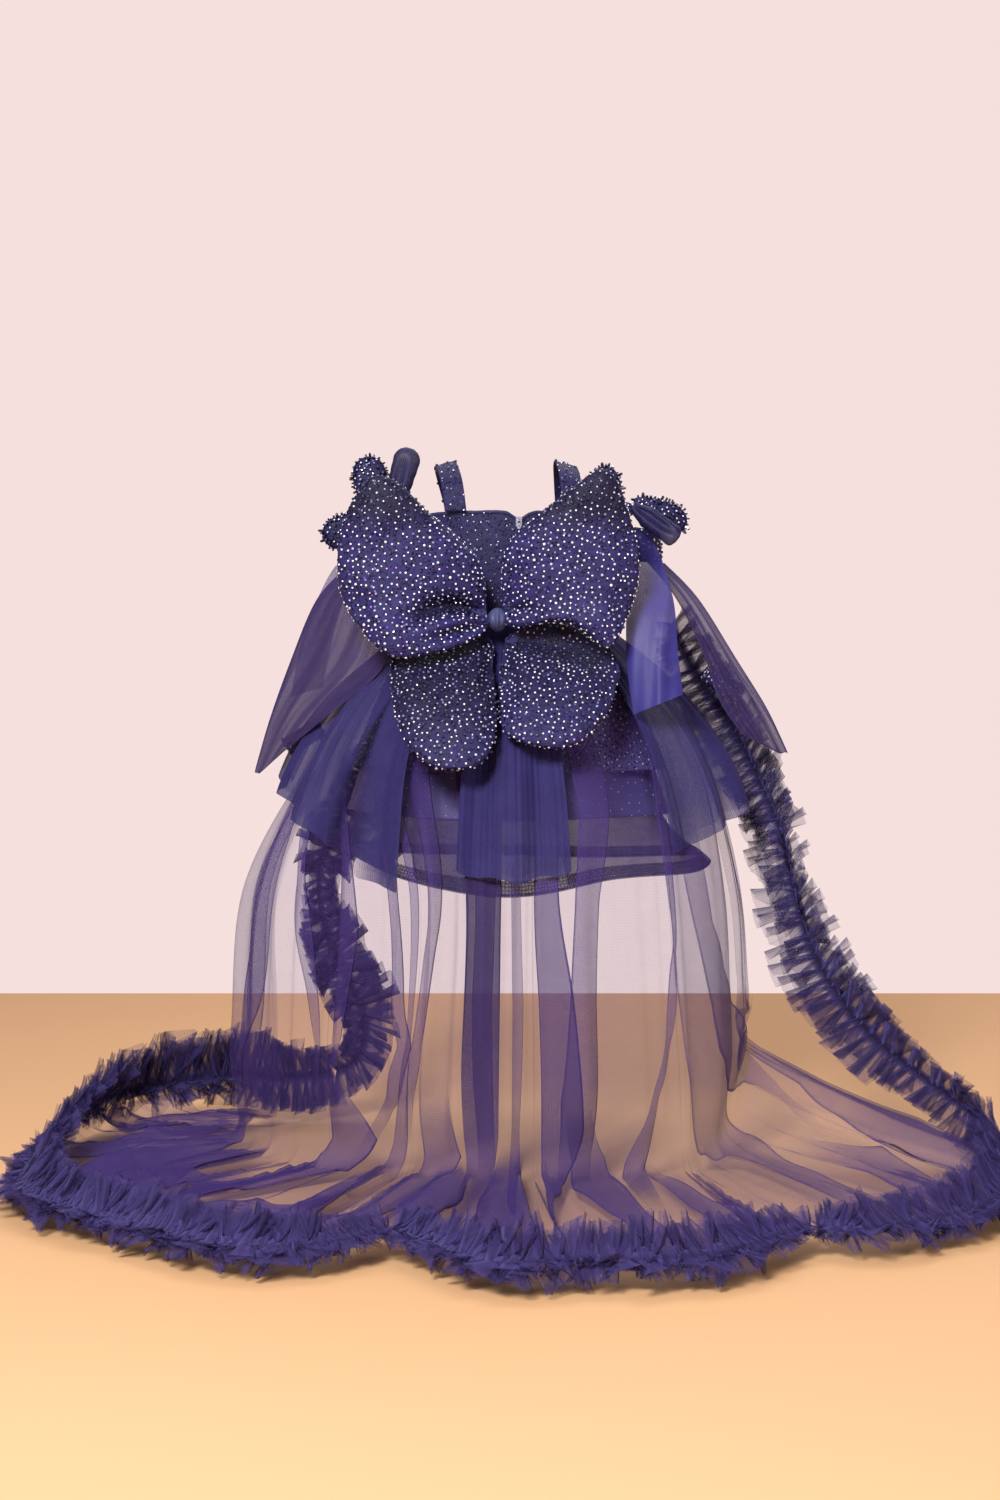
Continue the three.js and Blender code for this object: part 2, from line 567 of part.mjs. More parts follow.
const SHOULDER_BOWS = {
  left: {
    knot: [-132, -36, 606],
    wings: table("name turn length half", [["upper", 96, 62, 21], ["lower", 212, 54, 20]]),
    loop: { turn: 66, length: 66, half: 14, behind: -17 },
    tail: table("x y height half turn", [[-150, 12, 574, 8, 0], [-164, 26, 552, 13, 10], [-184, 34, 500, 17, 14],
      [-197, 36, 438, 17, 18]]),
  },
  right: {
    knot: [124, -45, 616],
    wings: table("name turn length half", [["upper", 132, 46, 18], ["lower", -20, 66, 20]]),
    loop: { turn: -36, length: 74, half: 12, behind: 27 },
    tail: table("x y height half turn", [[138, -50, 592, 11, 0], [144, -60, 566, 19, 4], [149, -104, 520, 26, 8],
      [150, -122, 470, 29, 16], [156, -132, 426, 28, 22]]),
  },
};

for (const [side, { knot, wings, loop, tail }] of Object.entries(SHOULDER_BOWS)) {
  const root = new THREE.Vector3(...knot);
  add(`shoulder_bow_${side}_knot`, lump(root, [7, 6, 8], 8, 4), "beaded");
  for (const { name, turn, length, half } of wings) {
    const along = new THREE.Vector2(Math.cos(rad(turn)), Math.sin(rad(turn)));
    const beside = new THREE.Vector2(-along.y, along.x);
    const leaf = (t) => {
      const a = 2 * Math.PI * t;
      const reach = 10 + (length - 10) * (0.5 - 0.5 * Math.cos(a));
      const spread = half * Math.sin(a) * (0.78 - 0.3 * Math.cos(a));
      return along.clone().multiplyScalar(reach).addScaledVector(beside, spread);
    };
    const middle = along.clone().multiplyScalar(10 + 0.55 * (length - 10));
    const placeAt = (p, thick) =>
      new THREE.Vector3(root.x + p.x, root.y + thick + 0.08 * p.length(), root.z + p.y);
    add(`shoulder_bow_${side}_wing_${name}`, padded(leaf, middle, placeAt, 7.5, 12, 3), "beaded");
  }

  // The organza loop: a ribbon that runs out behind the wings, turns over and comes back.
  const along = new THREE.Vector3(Math.cos(rad(loop.turn)), 0, Math.sin(rad(loop.turn)));
  const beside = new THREE.Vector3(-along.z, 0, along.x);
  const loopAt = (u, v) => {
    const a = mix(0.12, 1.88, u) * Math.PI;
    const reach = 12 + (loop.length - 12) * (0.5 - 0.5 * Math.cos(a));
    const bulge = -8 * Math.sin(a) * (0.75 - 0.25 * Math.cos(a));
    const spread = loop.half * (2 * v - 1) * (0.72 + 0.28 * Math.sin(a / 2));
    return root
      .clone()
      .add(new THREE.Vector3(0, -loop.behind, 0))
      .addScaledVector(along, reach)
      .addScaledVector(beside, spread)
      .add(new THREE.Vector3(0, bulge, 0));
  };
  add(`shoulder_bow_${side}_loop`, wall(loopAt, 12, 2, TULLE), "organza");

  const tailAt = (u, v) => {
    const at = v * (tail.length - 1);
    const point = smoothPoint(tail, ["x", "y", "height"], at);
    const across = (2 * u - 1) * smooth(tail, "half", at);
    const turn = rad(smooth(tail, "turn", at));
    const cup = 0.05 * (across * across) / 4;
    return point.add(new THREE.Vector3(across * Math.cos(turn), cup, across * Math.sin(turn)));
  };
  add(`shoulder_bow_${side}_tail`, wall(tailAt, 3, 6, TULLE), "organza");
}

// ---- Drape sleeves: a fall of tulle from each arm band, narrow at the shoulder, open behind the arm and ending
// in a point below the wrist. Rows give the outer and the inner edge as the sleeve falls.

const SLEEVES = {
  left: table("outer_x outer_y outer_height inner_x inner_y inner_height bulge", [
    [-148, -6, 566, -108, -48, 568, 3], [-176, -6, 530, -104, -58, 536, 9], [-200, -10, 470, -136, -62, 482, 10],
    [-224, -14, 410, -196, -40, 430, 5], [-244, -16, 358, -220, -30, 386, 2]]),
  right: table("outer_x outer_y outer_height inner_x inner_y inner_height bulge", [
    [164, -10, 566, 142, -40, 568, 2], [196, -26, 530, 172, -42, 530, 3], [232, -40, 470, 198, -56, 475, 5],
    [262, -46, 420, 212, -66, 430, 7], [284, -44, 378, 234, -68, 398, 5]]),
};

for (const [side, rows] of Object.entries(SLEEVES)) {
  const sleeveAt = (u, v) => {
    const at = v * (rows.length - 1);
    const outer = smoothPoint(rows, ["outer_x", "outer_y", "outer_height"], at);
    const inner = smoothPoint(rows, ["inner_x", "inner_y", "inner_height"], at);
    const bulge = smooth(rows, "bulge", at) * (Math.sin(Math.PI * u) + 0.3 * Math.cos(6 * Math.PI * u) - 0.3);
    return outer.lerp(inner, u).add(new THREE.Vector3(0, -bulge, 0));
  };
  add(`sleeve_${side}`, wall(sleeveAt, 6, 6, TULLE), "tulle");
}

// ---- Cuffs: a beaded band round each wrist.

const CUFFS = table("side x y height tilt", [["left", -200, 42, 392, 30], ["right", 224, 6, 446, -36]]);
const CUFF = { radius: 20, height: 18 };

for (const { side, x, y, height, tilt } of CUFFS) {
  const lean = rad(tilt);
  const cuffAt = (u, v) => {
    const a = 2 * Math.PI * u;
    const [right, front] = [CUFF.radius * Math.cos(a), CUFF.radius * Math.sin(a)];
    const point = new THREE.Vector3(right, front, CUFF.height * (0.5 - v));
    return point.applyAxisAngle(new THREE.Vector3(0, 1, 0), -lean).add(new THREE.Vector3(x, y, height));
  };
  add(`cuff_${side}`, wall(cuffAt, 14, 1, CLOTH, true), "beaded");
}

export default dress;
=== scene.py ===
import math

import bpy
import numpy as np
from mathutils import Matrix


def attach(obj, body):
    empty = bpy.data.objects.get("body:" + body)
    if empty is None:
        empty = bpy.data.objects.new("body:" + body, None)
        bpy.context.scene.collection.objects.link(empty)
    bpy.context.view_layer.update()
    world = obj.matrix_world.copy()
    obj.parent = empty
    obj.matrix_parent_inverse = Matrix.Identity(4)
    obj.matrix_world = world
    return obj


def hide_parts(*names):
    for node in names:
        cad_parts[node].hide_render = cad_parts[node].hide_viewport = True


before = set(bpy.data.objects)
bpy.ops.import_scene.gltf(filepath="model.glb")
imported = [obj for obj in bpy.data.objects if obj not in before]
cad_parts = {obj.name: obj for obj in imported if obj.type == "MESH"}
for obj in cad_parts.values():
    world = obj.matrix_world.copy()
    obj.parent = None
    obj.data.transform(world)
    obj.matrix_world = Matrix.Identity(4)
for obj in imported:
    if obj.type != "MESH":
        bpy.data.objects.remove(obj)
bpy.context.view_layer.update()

# ---- Stage: a plain tan floor under the train, soft light from above and from behind the camera, and a
# camera two metres behind the dress at the height of its hems. None of it is part of the dress.

SHOULDER_HEIGHT = 665.0  # the frame's origin is this high above the floor, in millimetres
FLOOR = -SHOULDER_HEIGHT / 1000 - 0.004
LENS_SHIFT = -1 / 30  # so the horizon is a little above the middle of what the camera sees
CAMERA_PLACE = (0, -2.083, -0.235)

for thing in bpy.context.selected_objects:
    thing.select_set(False)
bpy.ops.mesh.primitive_plane_add(size=1, location=(0, -0.5, FLOOR))
floor = bpy.context.object
floor.name = "floor"
floor.scale = (5, 3, 1)
bpy.ops.object.transform_apply(location=True, rotation=True, scale=True)
paper = bpy.data.materials.new("plain_floor")
paper.use_nodes = True
surface = paper.node_tree.nodes["Principled BSDF"]
surface.inputs["Base Color"].default_value = (0.72, 0.42, 0.21, 1)
surface.inputs["Roughness"].default_value = 0.6
floor.data.materials.append(paper)

lens = bpy.data.cameras.new("camera")
lens.lens = 50
lens.sensor_fit = "VERTICAL"
lens.sensor_height = 36
lens.shift_y = LENS_SHIFT
lens.clip_end = 60
camera = bpy.data.objects.new("camera", lens)
camera.location = CAMERA_PLACE
camera.rotation_euler = (math.radians(90), 0, 0)
bpy.context.scene.collection.objects.link(camera)
bpy.context.scene.camera = camera

LAMPS = [  # name, place, the point it is turned to, size in metres and power in watts
    ("key", (-0.6, -2.1, 0.85), (0, 0, -0.25), 0.55, 74),
    ("fill", (1.7, -1.7, -0.1), (0, 0, -0.35), 1.2, 11),
    ("top", (0.3, 1.1, 1.7), (0, 0.25, -0.6), 1.8, 26),
]
for name, place, aim, size, watts in LAMPS:
    light = bpy.data.objects.new(name, bpy.data.lights.new(name, "AREA"))
    light.data.size = size
    light.data.energy = watts
    light.location = place
    towards = np.subtract(aim, place)
    light.rotation_euler = (math.atan2(math.hypot(towards[0], towards[1]), -towards[2]), 0,
                            math.atan2(-towards[0], towards[1]))
    bpy.context.scene.collection.objects.link(light)

sky = bpy.data.worlds.new("soft_studio")
sky.use_nodes = True
background = sky.node_tree.nodes["Background"]
background.inputs["Color"].default_value = (1.0, 0.81, 0.79, 1)
seen = sky.node_tree.nodes.new("ShaderNodeLightPath")
strength = sky.node_tree.nodes.new("ShaderNodeMapRange")
strength.inputs["To Min"].default_value = 0.34  # as light on the dress
strength.inputs["To Max"].default_value = 0.92  # as the backdrop that the camera sees
sky.node_tree.links.new(seen.outputs["Is Camera Ray"], strength.inputs["Value"])
sky.node_tree.links.new(strength.outputs[0], background.inputs["Strength"])
bpy.context.scene.world = sky
bpy.context.scene.view_settings.view_transform = "Standard"
LAYERS_SEEN_THROUGH = 48
bpy.context.scene.cycles.transparent_max_bounces = LAYERS_SEEN_THROUGH

# ---- Bodice: a front and two backs of navy cloth, closely beaded all over. They are sewn at the side seams
# and meet at the concealed zip in the middle of the back. Larger stones are set on them one by one.

BODY_X = 8.0  # millimetres: the torso stands a little to the right of the bow's knot
WAIST = 506.0


def table(names, rows):
    """Rows of numbers as named columns."""
    return dict(zip(names.split(), np.array(rows, float).T))


def through(a, b, c, d, t):
    """A smooth line through four points, at a share t of the way from b to c."""
    return b + 0.5 * t * (c - a + t * (2 * a - 5 * b + 4 * c - d + t * (3 * (b - c) + d - a)))


def smooth(column, at):
    """A smooth value of one column, where at counts rows from 0."""
    at = np.asarray(at, float)
    i = np.clip(np.floor(at).astype(int), 0, len(column) - 2)
    return through(*(column[np.clip(i + k, 0, len(column) - 1)] for k in (-1, 0, 1, 2)), at - i)


def smooth_point(rows, names, at):
    """Smooth values of some columns, side by side."""
    return np.stack([smooth(rows[name], at) for name in names.split()], -1)


def ease(low, high, at):
    """Rises softly from 0 at low to 1 at high."""
    t = np.clip((at - low) / (high - low), 0, 1)
    return t * t * (3 - 2 * t)


def bump(at, centre, width):
    """A soft hill, 1 high at its centre."""
    return np.exp(-(((at - centre) / width) ** 2))


def unit(vectors):
    return vectors / np.maximum(np.linalg.norm(vectors, axis=-1, keepdims=True), 1e-9)


def ring(angle, half_width, half_depth, height):
    """A point round the body. Angle 0 is the centre back, and angles grow to the wearer's right."""
    turn = np.radians(angle)
    parts = (BODY_X + half_width * np.sin(turn), -half_depth * np.cos(turn), height)
    return np.stack(np.broadcast_arrays(*parts), -1)


def away(angle):
    """The level direction out from the body at an angle round it."""
    return ring(angle, 1.0, 1.0, 0.0) - np.array([BODY_X, 0, 0])


def waves(at, seed, lowest, highest, count=6):
    """Uneven waves between about -1 and 1: a seeded sum of sines between two frequencies."""
    rng = np.random.default_rng(seed)
    total = 0
    for rate in np.geomspace(lowest, highest, count):
        height = rng.uniform(0.5, 1)
        total = total + height * np.sin(2 * np.pi * (rate * rng.uniform(0.85, 1.15) * at + rng.uniform()))
    return total / (0.75 * count) ** 0.5 / 1.2


def grid(point_at, across, down, layers=None, fold=None):
    """A sheet of points in millimetres above the floor. At each point it has the number of layers of cloth,
    and how near it is to a sharp fold or a cut edge, from 0 to 1."""
    u, v = np.meshgrid(np.linspace(0, 1, across + 1), np.linspace(0, 1, down + 1), indexing="ij")
    depth = np.ones(u.shape) if layers is None else np.broadcast_to(layers(u, v), u.shape)
    sharp = np.zeros(u.shape) if fold is None else np.broadcast_to(fold(u, v), u.shape)
    return point_at(u, v), depth, sharp


def new_piece(name, points, faces):
    """An object with a mesh of these points, in metres, and faces."""
    mesh = bpy.data.meshes.new(name)
    mesh.from_pydata(points, [], faces)
    piece = bpy.data.objects.new(name, mesh)
    bpy.context.scene.collection.objects.link(piece)
    return piece


def set_values(piece, name, values):
    """One number for each point of a mesh, which its material reads by name."""
    piece.data.attributes.new(name, "FLOAT", "POINT").data.foreach_set("value", values)


def cloth(name, grids, material, thick=0.0):
    """One mesh from grids of points, with their two values and a UV map, named cut, in metres of cloth."""
    points, layers, folds, faces, cuts = [], [], [], [], []
    first = 0
    for place, depth, sharp in grids:
        rows, columns = place.shape[:2]
        along = np.linalg.norm(np.diff(place, axis=0), axis=-1).mean(1) / 1000
        down = np.linalg.norm(np.diff(place, axis=1), axis=-1).mean(0) / 1000
        cut_u, cut_v = (np.concatenate([[0], np.cumsum(steps)]) for steps in (along, down))
        index = first + np.arange(rows * columns).reshape(rows, columns)
        corners = (index[:-1, :-1], index[1:, :-1], index[1:, 1:], index[:-1, 1:])
        faces.append(np.stack([corner.ravel() for corner in corners], -1))
        cuts.append(np.stack(np.meshgrid(cut_u, cut_v, indexing="ij"), -1).reshape(-1, 2))
        points.append(place.reshape(-1, 3))
        layers.append(depth.ravel())
        folds.append(sharp.ravel())
        first += rows * columns
    places = (np.concatenate(points) - [0, 0, SHOULDER_HEIGHT]) / 1000
    quads = np.concatenate(faces)
    piece = new_piece(name, places, quads)
    piece.data.uv_layers.new(name="cut").data.foreach_set("uv", np.concatenate(cuts)[quads.ravel()].ravel())
    set_values(piece, "layers", np.concatenate(layers))
    set_values(piece, "fold", np.concatenate(folds))
    piece.data.polygons.foreach_set("use_smooth", [True] * len(quads))
    piece.data.materials.append(material)
    if thick:
        finish_mesh(piece, "SOLIDIFY", thickness=thick, offset=0)
    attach(piece, "dress")
    return piece


def finish_mesh(piece, kind, **settings):
    """Adds one modifier to a piece and applies it."""
    modifier = piece.modifiers.new(kind.lower(), kind)
    for name, value in settings.items():
        setattr(modifier, name, value)
    bpy.context.view_layer.objects.active = piece
    bpy.ops.object.modifier_apply(modifier=modifier.name)


def add_node(tree, kind, inputs=(), **settings):
    """A shader node with its settings, and its inputs as values or as links from other nodes' sockets."""
    made = tree.nodes.new(kind)
    for name, value in settings.items():
        setattr(made, name, value)
    for name, value in dict(inputs).items():
        if isinstance(value, bpy.types.NodeSocket):
            tree.links.new(value, made.inputs[name])
        else:
            made.inputs[name].default_value = value
    return made


def new_group(name, inputs, outputs):
    """An empty node group with named sockets: its tree, its inputs' node and its outputs' node."""
    tree = bpy.data.node_groups.new(name, "ShaderNodeTree")
    for socket, value in inputs.items():
        kind = "NodeSocketVector" if value is None else "NodeSocketFloat"
        made = tree.interface.new_socket(socket, in_out="INPUT", socket_type=kind)
        if value is not None:
            made.default_value = value
    for socket in outputs:
        tree.interface.new_socket(socket, in_out="OUTPUT", socket_type="NodeSocketFloat")
    return tree, tree.nodes.new("NodeGroupInput"), tree.nodes.new("NodeGroupOutput")


def maths(tree, operation, first, second=0.0, clamp=False):
    made = add_node(tree, "ShaderNodeMath", {0: first, 1: second}, operation=operation, use_clamp=clamp)
    return made.outputs[0]


def ranged(tree, value, to_low, to_high, low=0.0, high=1.0):
    """A value moved from one range to another, and held inside it."""
    inputs = {"Value": value, "From Min": low, "From Max": high, "To Min": to_low, "To Max": to_high}
    return add_node(tree, "ShaderNodeMapRange", inputs).outputs[0]


def point_value(tree, name):
    """The number that a mesh's points have under this name."""
    return add_node(tree, "ShaderNodeAttribute", attribute_name=name).outputs["Fac"]


def cloth_place(tree):
    """The place on the flat cloth, in metres."""
    return add_node(tree, "ShaderNodeUVMap", uv_map="cut").outputs[0]


def raise_surface(tree, shader, height, strength, distance):
    made = add_node(tree, "ShaderNodeBump", {"Strength": strength, "Distance": distance, "Height": height})
    tree.links.new(made.outputs[0], shader.inputs["Normal"])


def mixed(tree, share, low, high):
    """A colour between two colours."""
    made = tree.nodes.new("ShaderNodeMix")
    made.data_type = "RGBA"
    for socket, value in ((0, share), (6, low), (7, high)):
        if isinstance(value, bpy.types.NodeSocket):
            tree.links.new(value, made.inputs[socket])
        else:
            made.inputs[socket].default_value = value if socket == 0 else (*value, 1)
    return made.outputs[2]


def new_material(name, **shader):
    """A material, its tree and its Principled shader, with the shader's uniform values set."""
    material = bpy.data.materials.new(name)
    material.use_nodes = True
    principled = material.node_tree.nodes["Principled BSDF"]
    for socket, value in shader.items():
        principled.inputs[socket.replace("_", " ")].default_value = value
    return material, material.node_tree, principled


def woven_threads():
    """Plain weave: threads that cross, as a height, and uneven dyeing, as a shade."""
    tree, start, end = new_group("woven_threads", {"Cut": None, "Threads": 2200.0}, ["Height", "Shade"])
    cut, threads = (start.outputs[name] for name in ("Cut", "Threads"))
    scaled = add_node(tree, "ShaderNodeVectorMath", {0: cut, "Scale": threads}, operation="SCALE")
    parts = add_node(tree, "ShaderNodeSeparateXYZ", {0: scaled.outputs[0]})
    warp, weft = (maths(tree, "SINE", parts.outputs[k]) for k in (0, 1))
    crossed = maths(tree, "MULTIPLY", warp, weft)
    tree.links.new(maths(tree, "MULTIPLY_ADD", crossed, 0.5), end.inputs["Height"])
    cloudy = add_node(tree, "ShaderNodeTexNoise", {"Vector": cut, "Scale": 60.0, "Detail": 4.0})
    tree.links.new(cloudy.outputs["Fac"], end.inputs["Shade"])
    return tree


WEAVE = woven_threads()


BEADS_TO_A_METRE = 330.0
BEAD_BLACK = (0.002, 0.002, 0.008)
# The colour of a painted glint on a few of the beads.
PAINTED_BEAD_GLINT = (0.2, 0.2, 0.42)
# The colour that painted shade darkens the cloth towards.
PAINTED_SHADE_COLOUR = (0.003, 0.002, 0.01)
GLINTING_FROM = 0.93  # the share of the beads that don't glint


def beaded_cloth(name, dark, light):
    """Navy cloth sown all over with tiny dark beads, a few of which take a lighter colour as a painted glint
    between the stones. Painted shade darkens it towards near black, as far as each point's shade value says."""
    material, tree, shader = new_material(name, Specular_IOR_Level=0.25)
    cut = cloth_place(tree)
    inputs = {"Vector": cut, "Scale": BEADS_TO_A_METRE, "Randomness": 0.8}
    beads = add_node(tree, "ShaderNodeTexVoronoi", inputs)
    weave = add_node(tree, "ShaderNodeGroup", {"Cut": cut, "Threads": 5000.0}, node_tree=WEAVE)
    bead = ranged(tree, beads.outputs["Distance"], 0.0, 1.0, 0.42, 0.26)
    ground = mixed(tree, weave.outputs["Shade"], dark, light)
    # Painted shade: the colour is darkened towards near black by each point's shade value.
    ground = mixed(tree, maths(tree, "MULTIPLY", point_value(tree, "painted_shade"), 0.75), ground, PAINTED_SHADE_COLOUR)
    beaded = mixed(tree, bead, ground, BEAD_BLACK)
    chance = add_node(tree, "ShaderNodeSeparateColor", {0: beads.outputs["Color"]}).outputs[0]
    # Painted highlight: a few beads take a lighter colour, as glints.
    painted_glint = maths(tree, "MULTIPLY", maths(tree, "GREATER_THAN", chance, GLINTING_FROM), bead)
    tree.links.new(mixed(tree, painted_glint, beaded, PAINTED_BEAD_GLINT), shader.inputs["Base Color"])
    tree.links.new(ranged(tree, bead, 0.62, 0.28), shader.inputs["Roughness"])
    height = maths(tree, "ADD", bead, maths(tree, "MULTIPLY", weave.outputs["Height"], 0.2))
    raise_surface(tree, shader, height, 0.7, 0.0008)
    return material


BEADED = beaded_cloth("beaded_cloth", (0.013, 0.011, 0.07), (0.024, 0.02, 0.125))


def set_shade(piece, amount):
    """How far each point of a beaded piece is darkened as painted shade, from 0 to 1."""
    set_values(piece, "painted_shade", np.broadcast_to(amount, len(piece.data.vertices)).astype(float))


def stone_finish(name, tones, roughness, metallic):
    """Cut glass in a range of tones, one to a stone: each row is where a tone starts, and its colour."""
    material, tree, shader = new_material(name, Roughness=roughness, Metallic=metallic, Coat_Weight=0.5,
                                          Coat_Roughness=0.08)
    # A stone's tone is lowered where it lies in shade, so the ramp gives it a darker colour: painted shade.
    ramp = add_node(tree, "ShaderNodeValToRGB", {"Fac": point_value(tree, "tone")})
    steps = ramp.color_ramp
    while len(steps.elements) < len(tones):
        steps.elements.new(0.5)
    for step, (start, colour) in zip(steps.elements, tones):
        step.position = start
        step.color = (*colour, 1)
    tree.links.new(ramp.outputs["Color"], shader.inputs["Base Color"])
    return material


CROWN = stone_finish("stone_crown", [
    (0.0, (0.02, 0.02, 0.06)), (0.12, (0.05, 0.05, 0.14)), (0.24, (0.3, 0.28, 0.48)), (0.4, (0.9, 0.88, 1.0)),
    (0.84, (1.0, 1.0, 1.0)), (0.88, (0.35, 0.5, 1.0)), (0.93, (0.9, 0.6, 0.85)), (0.985, (0.35, 0.1, 1.0)),
], 0.22, 0.0)
SETTING = stone_finish("stone_setting", [(0.0, (0.004, 0.004, 0.014)), (1.0, (0.02, 0.02, 0.06))], 0.35, 0.3)
STONE_SIDES = 6
STONE_RINGS = table("radius height", [[1.5, -0.3], [1.16, 0.8], [0.78, 1.5]])  # millimetres
LARGE_SHARE = 0.4  # the share of the stones that are of the larger size
TRIES = 6  # for each stone that would fit


def mesh_points(piece):
    return np.array([v.co[:] for v in piece.data.vertices])


def faces_out(middle, least, sides=2):
    """Tells which faces of a piece look away from a point inside it, level or in all three directions, so
    that stones are set on its outside only."""
    def keep(place, way):
        return (way * (place - middle))[:, :sides].sum(1) > least

    return keep


def stones(name, piece, spacing, seed, size=1.0, keep=None, stalk=0.0, dim=0.0):
    """Stones set on a piece of cloth, no two closer than spacing, in millimetres, as one joined mesh. A
    stalk lifts their crowns off the cloth, and dim tells how far they lie in shade."""
    rng = np.random.default_rng(seed)
    piece.data.calc_loop_triangles()
    corners = np.array([t.vertices[:] for t in piece.data.loop_triangles])
    places = mesh_points(piece)
    a, b, c = (places[corners[:, k]] for k in range(3))
    normals = np.cross(b - a, c - a)
    areas = np.linalg.norm(normals, axis=1) / 2
    if keep is not None:
        areas = areas * keep((a + b + c) / 3, unit(normals))
    count = int(areas.sum() * 1e6 / spacing**2 * TRIES)
    pick = rng.choice(len(areas), count, p=areas / areas.sum())
    s, t = rng.random((2, count, 1))
    s, t = np.where(s + t > 1, 1 - s, s), np.where(s + t > 1, 1 - t, t)
    found = a[pick] + s * (b - a)[pick] + t * (c - a)[pick]
    outward = unit(normals[pick])
    cells, kept = {}, []
    gap = spacing / 1000
    for k, place in enumerate(found):
        x, y, z = np.floor(place / gap).astype(int)
        cells_near = [(x + i, y + j, z + m) for i in (-1, 0, 1) for j in (-1, 0, 1) for m in (-1, 0, 1)]
        near = [n for cell in cells_near for n in cells.get(cell, ())]
        if all(((found[n] - place) ** 2).sum() > gap * gap for n in near):
            cells.setdefault((x, y, z), []).append(k)
            kept.append(k)
    found, outward = found[kept], outward[kept]
    number = len(kept)
    outward = unit(outward + rng.normal(0, 0.12, (number, 3)))
    side = unit(np.cross(outward, rng.normal(size=(number, 3))))
    other = np.cross(outward, side)
    tone = rng.random(number)
    large = np.where(tone < LARGE_SHARE, 1.2, 0.86)[:, None]
    scale = size * large * rng.uniform(0.85, 1.15, (number, 1)) / 1000
    n = STONE_SIDES
    points = []
    for radius, height in zip(STONE_RINGS["radius"], STONE_RINGS["height"]):
        for angle in 2 * np.pi * np.arange(n) / n:
            flat = radius * (math.cos(angle) * side + math.sin(angle) * other)
            lifted = height + (stalk if height > 0 else 0)
            points.append(found + scale * (flat + lifted * outward))
    quads = [[k * n + i, k * n + (i + 1) % n, (k + 1) * n + (i + 1) % n, (k + 1) * n + i]
             for k in range(2) for i in range(n)]
    caps = [[2 * n, 2 * n + i, 2 * n + i + 1, 2 * n + i + 1] for i in range(1, n - 1)]
    faces = (np.array(quads + caps)[None] + len(points) * np.arange(number)[:, None, None]).reshape(-1, 4)
    faces = [face[:3] if face[2] == face[3] else face for face in faces.tolist()]
    made = new_piece(name, np.stack(points, 1).reshape(-1, 3), faces)
    # Painted shade: a stone's tone is lowered by how far it lies in shade.
    shade = dim(found) if callable(dim) else dim
    set_values(made, "tone", np.repeat(tone * (1 - shade), len(points)))
    made.data.materials.append(CROWN)
    made.data.materials.append(SETTING)
    part = np.tile([1] * n + [0] * n + [0] * len(caps), number)  # the lowest ring of faces is the setting
    made.data.polygons.foreach_set("material_index", part)
    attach(made, "dress")
    return made


BODICE = table("height half_width half_depth", [
    [WAIST, 88, 66], [545, 92, 68], [580, 97, 69], [612, 100, 66]])
BACK_OPENING = 6.0
SEAM_TURN = 0.3  # half of a seam's gap, in degrees round the body
CLOTH_THICK = 0.0014


def neckline(angle):
    """The neckline's height: lower at the sides, at the zip and at the centre front."""
    side = bump(np.abs(angle), 92, 26)
    notch = bump(angle, BACK_OPENING, 5)
    sweetheart = bump(np.abs(angle), 180, 14)
    return 612 - 16 * side - 7.5 * notch - 9 * sweetheart


def bodice_point(angle, v):
    """A point of the bodice, where v runs from the neckline to the waist."""
    angle = np.where(angle > 180, angle - 360, angle)
    height = neckline(angle) + (WAIST - neckline(angle)) * v
    at = np.interp(height, BODICE["height"], np.arange(4))
    soft = 0.8 * waves(angle / 60, 3, 0.6, 3) * np.sin(np.pi * v)
    half_width, half_depth = (smooth(BODICE[name], at) + soft for name in ("half_width", "half_depth"))
    return ring(angle, half_width, half_depth, height)


BODICE_PANELS = {
    "bodice_back_left": (-90 + SEAM_TURN, BACK_OPENING - SEAM_TURN),
    "bodice_back_right": (BACK_OPENING + SEAM_TURN, 90 - SEAM_TURN),
    "bodice_front": (90 + SEAM_TURN, 270 - SEAM_TURN),
}
OUTSIDE = faces_out([BODY_X / 1000, 0, 0], 0.01)
for seed, (name, (start, end)) in enumerate(BODICE_PANELS.items()):
    panel = grid(lambda u, v: bodice_point(start + (end - start) * u, v), 90, 40)
    piece = cloth(f"{name}_cloth", [panel], BEADED, thick=CLOTH_THICK)
    # Painted shade: the bodice's cloth is darkened evenly and its stones dimmed, for the bow's shade.
    set_shade(piece, 0.45)
    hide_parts(name)
    sewn = stones(f"{name}_stones", piece, 6.0, 20 + seed, size=0.8, dim=0.4, keep=OUTSIDE)

# ---- Neck binding: a narrow roll of navy satin, folded round the bodice's neckline and sewn down. It is
# broken at the zip.


def satin_finish(name, dark, light):
    """Plain satin with a soft sheen along its threads."""
    material, tree, shader = new_material(name, Roughness=0.45, Specular_IOR_Level=0.3)
    inputs = {"Cut": cloth_place(tree), "Threads": 7000.0}
    weave = add_node(tree, "ShaderNodeGroup", inputs, node_tree=WEAVE)
    tree.links.new(mixed(tree, weave.outputs["Shade"], dark, light), shader.inputs["Base Color"])
    raise_surface(tree, shader, weave.outputs["Height"], 0.25, 0.0003)
    return material


BINDING_SATIN = satin_finish("binding_satin", (0.02, 0.018, 0.06), (0.032, 0.03, 0.1))
BINDING_RADIUS = 2.0
ZIP_GAP = 1.2  # degrees from the zip to each of the binding's ends


def roll(u, v, start, end):
    """A thin roll along the neckline from one angle to another."""
    angle = start + (end - start) * u
    turn = 2 * np.pi * v[..., None]
    swell = BINDING_RADIUS * (1 + 0.12 * waves(u * 9, 5, 0.5, 4))[..., None]
    section = away(angle) * np.cos(turn) + np.array([0, 0, 1.0]) * np.sin(turn)
    return bodice_point(angle, np.zeros_like(u)) + swell * section


